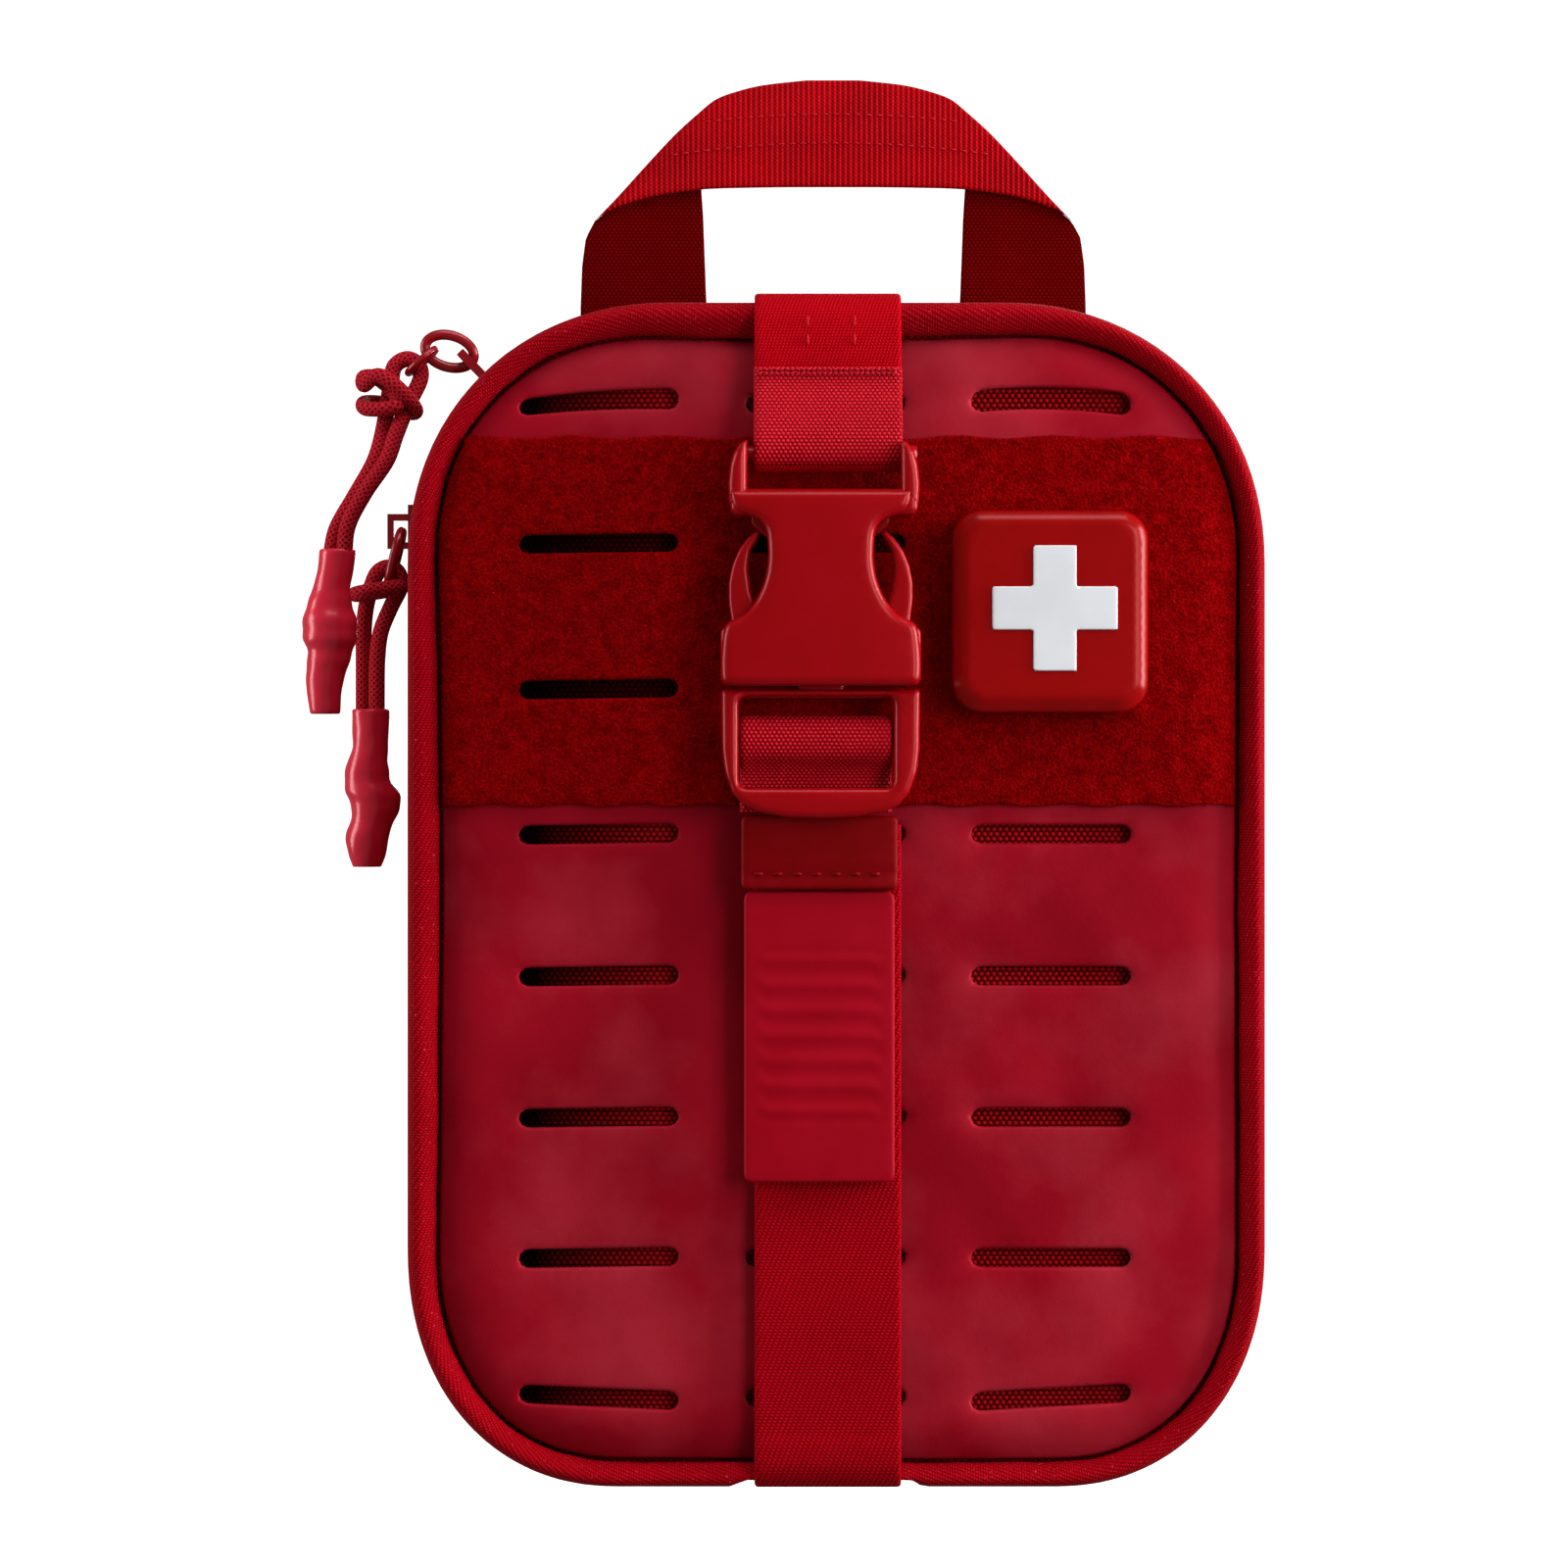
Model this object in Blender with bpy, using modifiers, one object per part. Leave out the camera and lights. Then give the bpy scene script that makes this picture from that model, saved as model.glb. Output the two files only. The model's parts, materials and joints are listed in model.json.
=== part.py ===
"""First aid kit pouch: a zipped clamshell with a slotted front panel, strap, buckle, badge and handle.

Metres, +Z up, the front faces -Y, origin at the middle of the base.
"""
import math

import bmesh
import bpy
from mathutils import Vector

MM = 0.001

# Overall case
CASE_HALF_WIDTH = 75.7 * MM
CASE_HEIGHT = 209.0 * MM
CASE_HALF_DEPTH = 41.4 * MM
TOP_CORNER_X = 46.0 * MM
TOP_CORNER_Z = 46.0 * MM
TOP_CORNER_POWER = 2.1
BASE_CORNER_X = 37.0 * MM
BASE_CORNER_Z = 42.0 * MM
BASE_CORNER_POWER = 2.15
CORNER_STEPS = 7

# Shells, rims and seams
WALL = 3.0 * MM
WALL_INSET = 1.4 * MM
SEAM_HALF_GAP = 6.0 * MM
RIM_DEPTH = 11.2 * MM
RIM_WIDTH = 5.2 * MM
SHELL_FACE = CASE_HALF_DEPTH - 3.4 * MM
CHAMFER_INSET = 6.5 * MM
TAPE_OUTER = 0.2 * MM
TAPE_INNER = 1.1 * MM
TAPE_REACH = 12.0 * MM
TAPE_HALF_GAP = 0.3 * MM
COIL_OUTER = 1.4 * MM
COIL_INNER = 3.2 * MM
COIL_REACH = 2.4 * MM
ZIP_END_HEIGHT = 41.0 * MM
GAP = 0.3 * MM

# Front panels
PANEL_INSET = 5.6 * MM
PANEL_THICKNESS = 1.5 * MM
PANEL_FRONT = -(SHELL_FACE + GAP + PANEL_THICKNESS)
LOOP_LOW = 120.2 * MM
LOOP_HIGH = 185.0 * MM
LOOP_THICKNESS = 1.5 * MM
LOOP_FRONT = PANEL_FRONT - GAP - LOOP_THICKNESS
SLOT_LENGTH = 28.2 * MM
SLOT_HEIGHT = 3.4 * MM
SLOT_COLUMNS = (-41.8 * MM, -1.9 * MM, 37.8 * MM)
SLOT_ROWS = (16.0, 40.6, 65.3, 90.2, 115.2, 140.7, 166.3, 191.0)

# Webbing
WEBBING_HALF_WIDTH = 12.9 * MM
WEBBING = 1.2 * MM
STRAP_X = -1.5 * MM
NOTCH_HALF_WIDTH = 13.8 * MM
NOTCH_RUN = 1.0 * MM
NOTCH_INSET = 1.65 * MM

# Side-release buckle
BUCKLE_X = -2.8 * MM
BUCKLE_HALF_WIDTH = 17.4 * MM
BUCKLE_BACK = -43.6 * MM
BUCKLE_FRONT = -54.0 * MM
SHOULDER_LOW = 141.0 * MM
SHOULDER_HIGH = 153.6 * MM
NECK_HALF_WIDTH = 8.3 * MM
SHOULDER_INSIDE = 16.4 * MM
TOP_BAR_LOW = 169.0 * MM
TOP_BAR_HIGH = 176.0 * MM
EAR_TOP = 184.5 * MM
END_BAR_Z = 181.5 * MM
END_BAR_Y = -46.2 * MM
END_BAR_RADIUS = 1.6 * MM
FRAME_LOW = 118.3 * MM
FRAME_HIGH = 140.7 * MM
FRAME_BACK = -47.4 * MM
FRAME_FRONT = -51.4 * MM
LADDER_BAR_Z = 132.0 * MM
ARM_PIVOT_X = 11.5 * MM
ARM_PIVOT_Z = 142.6 * MM

# Pull tab
TAB_HALF_WIDTH = 13.2 * MM
TAB_LOW = 54.3 * MM
TAB_HIGH = 105.3 * MM
TAB_BACK = -43.7 * MM
TAB_THICKNESS = 2.2 * MM
SLEEVE_HALF_WIDTH = 13.8 * MM
SLEEVE_THICKNESS = 3.4 * MM

# Badge
BADGE_X = 37.2 * MM
BADGE_Z = 154.2 * MM
BADGE_WIDTH = 34.2 * MM
BADGE_HEIGHT = 35.0 * MM
BADGE_THICKNESS = 6.9 * MM
HOOK_THICKNESS = 1.0 * MM
CROSS_LENGTH = 21.8 * MM
CROSS_ARM = 7.5 * MM
CROSS_THICKNESS = 0.4 * MM

# Carry handle
HANDLE_Y = 13.6 * MM
HANDLE_PIVOT_Z = 210.8 * MM
HANDLE_THICKNESS = 2.2 * MM
HANDLE_TOP = 256.0 * MM

# Zipper pulls
SLIDER_LENGTH = 9.5 * MM
SLIDER_HALF_WIDTH = 4.0 * MM
SLIDER_PLATE = 2.0 * MM
ARC_CENTRE_X = -29.7 * MM
ARC_CENTRE_Z = 163.0 * MM
ARC_RADIUS = 46.6 * MM
UPPER_SLIDER_ANGLE = 46.0
LOWER_SLIDER_Z = 170.5 * MM
CORD_DIAMETER = 3.0 * MM
UPPER_CORD_ROUTE = (
    (-85.6, -9.0, 170.6), (-84.3, -8.4, 176.0), (-81.6, -6.8, 182.0), (-79.9, -4.6, 188.0),
    (-78.4, -2.0, 193.5), (-76.2, -0.4, 198.4), (-76.5, 0.0, 201.1), (-78.6, 0.0, 202.3),
    (-80.9, 0.0, 201.0), (-81.5, -0.5, 198.2), (-82.0, -2.0, 193.8), (-83.5, -4.6, 188.2),
    (-85.4, -6.8, 182.0), (-87.8, -8.4, 176.0), (-89.2, -9.0, 170.6),
)
LOWER_CORD_ROUTE = (
    (-83.2, -0.4, 140.5), (-82.3, -0.3, 146.0), (-81.0, -0.1, 152.0), (-80.3, 0.0, 156.6),
    (-79.4, 0.0, 160.4), (-80.1, 0.0, 162.7), (-82.0, 0.0, 163.6), (-83.9, 0.0, 162.7),
    (-84.6, 0.0, 160.4), (-83.9, 0.0, 156.6), (-84.6, -0.1, 152.0), (-85.8, -0.3, 146.0),
    (-86.7, -0.4, 140.5),
)

# Things inside the case
SHEET_INSET = 9.5 * MM
ORGANISER_FRONT = 33.3 * MM
ORGANISER_THICKNESS = 1.4 * MM
BAND_HEIGHT = 20.0 * MM
BAND_THICKNESS = 1.2 * MM
ROLL_RADIUS = 10.5 * MM
SHEARS_X = -6.0 * MM
SHEARS_Z = 98.0 * MM
SHEARS_BACK = 31.0 * MM
BLADE_THICKNESS = 2.4 * MM
RIVET_RADIUS = 3.0 * MM

# Rear
REAR_WEBBING_THICKNESS = 1.4 * MM
REAR_WEBBING_HALF_WIDTH = 56.0 * MM
REAR_WEBBING_HEIGHT = 25.4 * MM
REAR_ROWS = (50.0 * MM, 102.0 * MM, 154.0 * MM)
REAR_STRAPS = (-30.0 * MM, 30.0 * MM)
REAR_STRAP_HALF_WIDTH = 11.0 * MM
SNAP_RADIUS = 5.5 * MM

for old in list(bpy.data.objects):
    bpy.data.objects.remove(old)
for old in list(bpy.data.meshes):
    bpy.data.meshes.remove(old)

KIT = bpy.data.collections.new("first_aid_kit")
bpy.context.scene.collection.children.link(KIT)

COLOURS = {
    "shell_fabric": (0.27, 0.008, 0.014, 0.9),
    "rim_fabric": (0.33, 0.006, 0.014, 0.85),
    "laminate": (0.33, 0.018, 0.032, 0.5),
    "loop_pile": (0.14, 0.002, 0.003, 1.0),
    "webbing": (0.30, 0.006, 0.012, 0.75),
    "buckle_plastic": (0.27, 0.003, 0.006, 0.35),
    "tab_rubber": (0.31, 0.008, 0.018, 0.45),
    "badge_red": (0.24, 0.003, 0.004, 0.4),
    "badge_white": (0.72, 0.73, 0.75, 0.4),
    "hook_sheet": (0.09, 0.003, 0.004, 0.9),
    "zip_coil": (0.10, 0.003, 0.005, 0.5),
    "zip_metal": (0.20, 0.004, 0.008, 0.35),
    "cord_braid": (0.25, 0.008, 0.014, 0.7),
    "tip_moulding": (0.38, 0.022, 0.045, 0.35),
    "lining": (0.06, 0.003, 0.005, 0.9),
    "elastic": (0.03, 0.03, 0.032, 0.9),
    "mesh_net": (0.05, 0.05, 0.055, 0.8),
    "gauze": (0.80, 0.79, 0.75, 0.95),
    "wrapper": (0.62, 0.66, 0.70, 0.4),
    "paper": (0.85, 0.85, 0.82, 0.8),
    "steel": (0.55, 0.56, 0.58, 0.3),
}


def material(name):
    found = bpy.data.materials.get(name)
    if found:
        return found
    made = bpy.data.materials.new(name)
    made.use_nodes = True
    shader = made.node_tree.nodes["Principled BSDF"]
    r, g, b, rough = COLOURS[name]
    shader.inputs["Base Color"].default_value = (r, g, b, 1.0)
    shader.inputs["Roughness"].default_value = rough
    return made


def add_mesh(name, slot, verts, faces):
    """One closed body from its points and faces, with its normals turned outward."""
    mesh = bpy.data.meshes.new(name)
    mesh.from_pydata([tuple(v) for v in verts], [], faces)
    shape = bmesh.new()
    shape.from_mesh(mesh)
    bmesh.ops.remove_doubles(shape, verts=shape.verts, dist=0.000002)
    bmesh.ops.recalc_face_normals(shape, faces=shape.faces)
    shape.to_mesh(mesh)
    shape.free()
    mesh.materials.append(material(slot))
    obj = bpy.data.objects.new(name, mesh)
    KIT.objects.link(obj)
    return obj


def set_origin(obj, point):
    """Move the origin to a point without moving the shape."""
    shift = Vector(point)
    for vertex in obj.data.vertices:
        vertex.co -= shift
    obj.location = shift


def unite(obj, others):
    """Join overlapping bodies into the first one."""
    for other in others:
        tool = obj.modifiers.new("join", "BOOLEAN")
        tool.operation = "UNION"
        tool.solver = "EXACT"
        tool.object = other
    bpy.context.view_layer.update()
    graph = bpy.context.evaluated_depsgraph_get()
    joined = bpy.data.meshes.new_from_object(obj.evaluated_get(graph))
    obj.modifiers.clear()
    obj.data = joined
    for other in others:
        bpy.data.objects.remove(other)
    return obj


def bevel(obj, width, steps=1, angle=40.0):
    made = obj.modifiers.new("bevel", "BEVEL")
    made.width = width
    made.segments = steps
    made.limit_method = "ANGLE"
    made.angle_limit = math.radians(angle)
    made.harden_normals = False
    return obj


def corner(centre_x, centre_z, rx, rz, power, start, steps):
    """Points round one corner, from angle start through a quarter turn."""
    points = []
    for i in range(steps + 1):
        angle = math.radians(start + 90.0 * i / steps)
        c, s = math.cos(angle), math.sin(angle)
        points.append((
            centre_x + rx * math.copysign(abs(c) ** (2.0 / power), c),
            centre_z + rz * math.copysign(abs(s) ** (2.0 / power), s),
        ))
    return points


def case_outline():
    """The outline of the case seen from the front, anticlockwise from the base."""
    inner_base = CASE_HALF_WIDTH - BASE_CORNER_X
    inner_top = CASE_HALF_WIDTH - TOP_CORNER_X
    top = CASE_HEIGHT - TOP_CORNER_Z
    n = CORNER_STEPS
    points = [(STRAP_X - NOTCH_HALF_WIDTH - NOTCH_RUN, 0.0)]
    points.append((STRAP_X - NOTCH_HALF_WIDTH, 0.0))
    points.append((STRAP_X + NOTCH_HALF_WIDTH, 0.0))
    points.append((STRAP_X + NOTCH_HALF_WIDTH + NOTCH_RUN, 0.0))
    right = corner(inner_base, BASE_CORNER_Z, BASE_CORNER_X, BASE_CORNER_Z, BASE_CORNER_POWER, -90, n)
    points += right
    points.append((CASE_HALF_WIDTH, (BASE_CORNER_Z + top) / 2))
    points += corner(inner_top, top, TOP_CORNER_X, TOP_CORNER_Z, TOP_CORNER_POWER, 0, n)
    points += corner(-inner_top, top, TOP_CORNER_X, TOP_CORNER_Z, TOP_CORNER_POWER, 90, n)
    points.append((-CASE_HALF_WIDTH, (BASE_CORNER_Z + top) / 2))
    points += corner(-inner_base, BASE_CORNER_Z, BASE_CORNER_X, BASE_CORNER_Z, BASE_CORNER_POWER, 180, n)
    return points


OUTLINE = case_outline()


def outline_normals():
    """The outward direction at each outline point."""
    found = []
    count = len(OUTLINE)
    for i, (x, z) in enumerate(OUTLINE):
        before = Vector(OUTLINE[i]) - Vector(OUTLINE[i - 1])
        after = Vector(OUTLINE[(i + 1) % count]) - Vector(OUTLINE[i])
        along = before.normalized() + after.normalized()
        along.normalize()
        found.append((along.y, -along.x))
    return found


NORMALS = outline_normals()


def inset_point(index, inset, y):
    x, z = OUTLINE[index]
    nx, nz = NORMALS[index]
    return (x - nx * inset, y, z - nz * inset)


def ring_faces(rings, width, closed_path):
    """Quads between neighbouring cross-sections."""
    faces = []
    last = rings if closed_path else rings - 1
    for i in range(last):
        j = (i + 1) % rings
        for k in range(width):
            m = (k + 1) % width
            faces.append((i * width + k, i * width + m, j * width + m, j * width + k))
    return faces


def in_notch(index):
    x, z = OUTLINE[index]
    return z < 0.001 * MM and abs(x - STRAP_X) < NOTCH_HALF_WIDTH + 0.1 * MM


def outline_ring(name, slot, section, notched=None):
    """A closed ring that follows the case outline with one cross-section of (inset, y) points."""
    verts = []
    for i in range(len(OUTLINE)):
        points = notched if notched and in_notch(i) else section
        verts += [inset_point(i, inset, y) for inset, y in points]
    return add_mesh(name, slot, verts, ring_faces(len(OUTLINE), len(section), True))


def outline_strip(name, slot, section, path):
    """A strip along a run of outline points, capped at both ends. path holds (x, z, nx, nz)."""
    verts = []
    for x, z, nx, nz in path:
        verts += [(x - nx * inset, y, z - nz * inset) for inset, y in section]
    width = len(section)
    faces = ring_faces(len(path), width, False)
    faces.append(tuple(range(width)))
    faces.append(tuple((len(path) - 1) * width + k for k in range(width)))
    return add_mesh(name, slot, verts, faces)


def tray(name, slot, section):
    """A shell swept round the outline, closed by a flat face at each end of its cross-section."""
    verts = []
    count = len(OUTLINE)
    for inset, y in section:
        verts += [inset_point(i, inset, y) for i in range(count)]
    faces = ring_faces(len(section), count, False)
    faces.append(tuple(range(count)))
    faces.append(tuple((len(section) - 1) * count + k for k in range(count)))
    return add_mesh(name, slot, verts, faces)


def height_path(low, high, upper):
    """Outline points above low (upper True) or below high, ending exactly at that height on both sides."""
    points = [(x, z, nx, nz) for (x, z), (nx, nz) in zip(OUTLINE, NORMALS)]
    first = next(i for i, p in enumerate(points) if p[1] > 0.5 * CASE_HEIGHT and p[0] > 0)
    points = points[first:] + points[:first]
    level = low if upper else high
    kept = []
    count = len(points)
    for i in range(count):
        a, b = points[i], points[(i + 1) % count]
        a_in = a[1] > level if upper else a[1] < level
        b_in = b[1] > level if upper else b[1] < level
        if a_in:
            kept.append(a)
        if a_in != b_in:
            t = (level - a[1]) / (b[1] - a[1])
            kept.append(tuple(p + (q - p) * t for p, q in zip(a, b)))
            if b_in:
                kept.append(None)
    if None in kept:
        at = kept.index(None)
        start = kept[at - 1:at] + kept[at + 1:]
        kept = start + kept[:at - 1]
    return kept


def offset_line(points, distance):
    """A polyline moved sideways by a distance, with mitred bends."""
    moved = []
    count = len(points)
    for i, here in enumerate(points):
        here = Vector(here)
        before = (here - Vector(points[i - 1])).normalized() if i else None
        after = (Vector(points[i + 1]) - here).normalized() if i < count - 1 else None
        before = before or after
        after = after or before
        side = Vector((-before.y - after.y, before.x + after.x)).normalized()
        stretch = 1.0 / max(0.5, side.dot(Vector((-before.y, before.x))))
        moved.append(here + side * distance * stretch)
    return moved


def web(name, slot, path, thickness, low, high, axis):
    """Webbing of one thickness along a path, with its width from low to high on the named axis."""
    left = offset_line(path, thickness / 2)
    right = offset_line(path, -thickness / 2)
    verts = []
    for a, b in zip(left, right):
        for point, w in ((a, low), (b, low), (b, high), (a, high)):
            if axis == "X":
                verts.append((w, point.x, point.y))
            else:
                verts.append((point.x, point.y, w))
    faces = ring_faces(len(path), 4, False)
    faces.append((0, 1, 2, 3))
    end = (len(path) - 1) * 4
    faces.append((end, end + 1, end + 2, end + 3))
    return add_mesh(name, slot, verts, faces)


def box(name, slot, low, high):
    x0, y0, z0 = low
    x1, y1, z1 = high
    verts = [(x, y, z) for x in (x0, x1) for y in (y0, y1) for z in (z0, z1)]
    faces = [(0, 1, 3, 2), (4, 6, 7, 5), (0, 4, 5, 1), (2, 3, 7, 6), (0, 2, 6, 4), (1, 5, 7, 3)]
    return add_mesh(name, slot, verts, faces)


def front_prism(name, slot, outline, back, front):
    """A flat outline of (x, z) points with depth from back to front along Y."""
    count = len(outline)
    verts = [(x, back, z) for x, z in outline] + [(x, front, z) for x, z in outline]
    faces = [(i, (i + 1) % count, count + (i + 1) % count, count + i) for i in range(count)]
    faces.append(tuple(range(count)))
    faces.append(tuple(range(count, 2 * count)))
    return add_mesh(name, slot, verts, faces)


def plate(name, slot, loops, back, front):
    """A flat plate whose first loop is its outline and whose other loops are holes."""
    curve = bpy.data.curves.new(name, "CURVE")
    curve.dimensions = "2D"
    curve.fill_mode = "BOTH"
    curve.extrude = abs(front - back) / 2
    for loop in loops:
        spline = curve.splines.new("POLY")
        spline.points.add(len(loop) - 1)
        for point, (x, z) in zip(spline.points, loop):
            point.co = (x, z, 0.0, 1.0)
        spline.use_cyclic_u = True
    holder = bpy.data.objects.new(name + "_curve", curve)
    KIT.objects.link(holder)
    bpy.context.view_layer.update()
    graph = bpy.context.evaluated_depsgraph_get()
    mesh = bpy.data.meshes.new_from_object(holder.evaluated_get(graph))
    bpy.data.objects.remove(holder)
    middle = (front + back) / 2
    verts = [(v.co.x, middle - v.co.z, v.co.y) for v in mesh.vertices]
    faces = [tuple(f.vertices) for f in mesh.polygons]
    bpy.data.meshes.remove(mesh)
    return add_mesh(name, slot, verts, faces)


def round_rect(cx, cz, width, height, radius, steps=3):
    """A rounded rectangle as (x, z) points, anticlockwise."""
    points = []
    hx, hz = width / 2 - radius, height / 2 - radius
    for sx, sz, start in ((1, -1, -90), (1, 1, 0), (-1, 1, 90), (-1, -1, 180)):
        for i in range(steps + 1):
            a = math.radians(start + 90.0 * i / steps)
            points.append((cx + sx * hx + radius * math.cos(a), cz + sz * hz + radius * math.sin(a)))
    return points


def slot_hole(cx, cz):
    """One round-ended slot."""
    return round_rect(cx, cz, SLOT_LENGTH, SLOT_HEIGHT, SLOT_HEIGHT / 2 - 0.01 * MM, 2)


def turned(name, slot, profile, top, bottom, sides=10):
    """A body of revolution along the line from top to bottom, from (share along, radius) points."""
    top, bottom = Vector(top), Vector(bottom)
    axis = (bottom - top).normalized()
    side = axis.cross(Vector((0, 1, 0)) if abs(axis.y) < 0.9 else Vector((0, 0, 1))).normalized()
    other = axis.cross(side)
    verts = []
    for share, radius in profile:
        middle = top.lerp(bottom, share)
        for k in range(sides):
            a = 2 * math.pi * k / sides
            verts.append(middle + (side * math.cos(a) + other * math.sin(a)) * radius)
    faces = ring_faces(len(profile), sides, False)
    faces.append(tuple(range(sides)))
    faces.append(tuple((len(profile) - 1) * sides + k for k in range(sides)))
    return add_mesh(name, slot, verts, faces)


def loop_ring(name, slot, centre, along, across, half_length, half_width, radius, steps=14, sides=6):
    """A closed oval ring of round wire in the plane of the two directions."""
    centre, along, across = Vector(centre), Vector(along).normalized(), Vector(across).normalized()
    normal = along.cross(across)
    verts = []
    for i in range(steps):
        a = 2 * math.pi * i / steps
        point = centre + along * half_length * math.cos(a) + across * half_width * math.sin(a)
        out = (along * math.cos(a) / half_length + across * math.sin(a) / half_width).normalized()
        for k in range(sides):
            b = 2 * math.pi * (k + 0.5) / sides
            verts.append(point + (out * math.cos(b) + normal * math.sin(b)) * radius)
    return add_mesh(name, slot, verts, ring_faces(steps, sides, True))


def smooth_route(points, steps):
    """A smooth run through the route points."""
    points = [Vector(p) * MM for p in points]
    ends = [points[0] * 2 - points[1]] + points + [points[-1] * 2 - points[-2]]
    made = []
    for i in range(1, len(ends) - 2):
        a, b, c, d = ends[i - 1:i + 3]
        for k in range(steps):
            t = k / steps
            made.append(0.5 * (2 * b + (c - a) * t + (2 * a - 5 * b + 4 * c - d) * t * t
                               + (3 * b - a - 3 * c + d) * t ** 3))
    made.append(points[-1])
    return made


def cord(name, slot, route, diameter):
    """A round cord along a route."""
    curve = bpy.data.curves.new(name, "CURVE")
    curve.dimensions = "3D"
    curve.bevel_depth = diameter / 2
    curve.bevel_resolution = 2
    curve.use_fill_caps = True
    points = smooth_route(route, 2)
    spline = curve.splines.new("POLY")
    spline.points.add(len(points) - 1)
    for held, point in zip(spline.points, points):
        held.co = (point.x, point.y, point.z, 1.0)
    obj = bpy.data.objects.new(name, curve)
    curve.materials.append(material(slot))
    KIT.objects.link(obj)
    return obj


# Case halves: sign -1 is the front half (the lid), +1 the back half.
def shell_section(sign):
    outer, inner = WALL_INSET, WALL_INSET + WALL
    face = SHELL_FACE
    bend = face - 8.0 * MM
    return [
        (CHAMFER_INSET, sign * face), (outer, sign * bend), (outer, sign * SEAM_HALF_GAP),
        (inner, sign * SEAM_HALF_GAP), (inner, sign * (bend - 1.0 * MM)),
        (CHAMFER_INSET + 2.3 * MM, sign * (face - WALL)),
    ]


def rim_section(sign):
    back = CASE_HALF_DEPTH - RIM_DEPTH
    deep = CASE_HALF_DEPTH
    points = [
        (0.9 * MM, back), (RIM_WIDTH - 0.1 * MM, deep - 4.6 * MM), (RIM_WIDTH, deep - 2.0 * MM),
        (4.2 * MM, deep - 0.4 * MM), (2.5 * MM, deep), (0.8 * MM, deep - 1.1 * MM),
        (0.0, deep - 3.4 * MM), (0.0, deep - 8.4 * MM), (0.4 * MM, back + 0.4 * MM),
    ]
    return [(inset, sign * y) for inset, y in points]


def rim_notch_section():
    deep = CASE_HALF_DEPTH
    points = [
        (NOTCH_INSET, deep - 10.1 * MM), (RIM_WIDTH - 0.1 * MM, deep - 4.6 * MM),
        (RIM_WIDTH, deep - 2.0 * MM), (4.2 * MM, deep - 0.8 * MM), (3.2 * MM, deep - 0.5 * MM),
        (2.2 * MM, deep - 1.1 * MM), (NOTCH_INSET, deep - 3.4 * MM),
        (NOTCH_INSET, deep - 8.4 * MM), (NOTCH_INSET, deep - 9.6 * MM),
    ]
    return [(inset, -y) for inset, y in points]


tray("back_shell", "shell_fabric", shell_section(1))
tray("front_shell", "shell_fabric", shell_section(-1))
outline_ring("back_rim", "rim_fabric", rim_section(1))
outline_ring("front_rim", "rim_fabric", rim_section(-1), rim_notch_section())

zip_path = height_path(ZIP_END_HEIGHT, None, True)
hinge_path = height_path(None, ZIP_END_HEIGHT - GAP, False)
for half, sign in (("back", 1), ("front", -1)):
    outline_strip(half + "_zipper_tape", "shell_fabric", [
        (TAPE_INNER, sign * TAPE_HALF_GAP), (TAPE_INNER, sign * TAPE_REACH),
        (TAPE_OUTER, sign * TAPE_REACH), (TAPE_OUTER, sign * TAPE_HALF_GAP),
    ], zip_path)
    outline_strip(half + "_zipper_coil", "zip_coil", [
        (COIL_OUTER, sign * TAPE_HALF_GAP), (COIL_OUTER, sign * COIL_REACH),
        (COIL_INNER, sign * COIL_REACH), (COIL_INNER, sign * TAPE_HALF_GAP),
    ], zip_path)
outline_strip("hinge_gusset", "shell_fabric", [
    (0.0, -TAPE_REACH), (0.0, TAPE_REACH), (TAPE_INNER, TAPE_REACH), (TAPE_INNER, -TAPE_REACH),
], hinge_path)

# Slotted laminate panel and the loop band over it
panel_loops = [[(p[0], p[2]) for p in (inset_point(i, PANEL_INSET, 0.0) for i in range(len(OUTLINE)))]]
for row in SLOT_ROWS:
    panel_loops += [slot_hole(x, row * MM) for x in SLOT_COLUMNS]
plate("slotted_panel", "laminate", panel_loops, PANEL_FRONT + PANEL_THICKNESS, PANEL_FRONT)


def side_x(z, inset):
    """Half width of the outline at a height on the right side, less an inset."""
    points = [inset_point(i, inset, 0.0) for i in range(len(OUTLINE))]
    points = [(p[0], p[2]) for p in points if p[0] > 0]
    for (xa, za), (xb, zb) in zip(points, points[1:]):
        if za <= z <= zb:
            return xa + (xb - xa) * (z - za) / max(zb - za, 1e-9)
    return CASE_HALF_WIDTH - inset


band_right = [(side_x(LOOP_LOW + (LOOP_HIGH - LOOP_LOW) * t, PANEL_INSET),
               LOOP_LOW + (LOOP_HIGH - LOOP_LOW) * t) for t in (0.0, 0.35, 0.66, 0.8, 0.9, 1.0)]
band_left = [(-x, z) for x, z in reversed(band_right)]
band_loops = [band_right + band_left]
for row in SLOT_ROWS[5:7]:
    band_loops += [slot_hole(x, row * MM) for x in SLOT_COLUMNS]
plate("loop_band", "loop_pile", band_loops, LOOP_FRONT + LOOP_THICKNESS, LOOP_FRONT)

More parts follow.
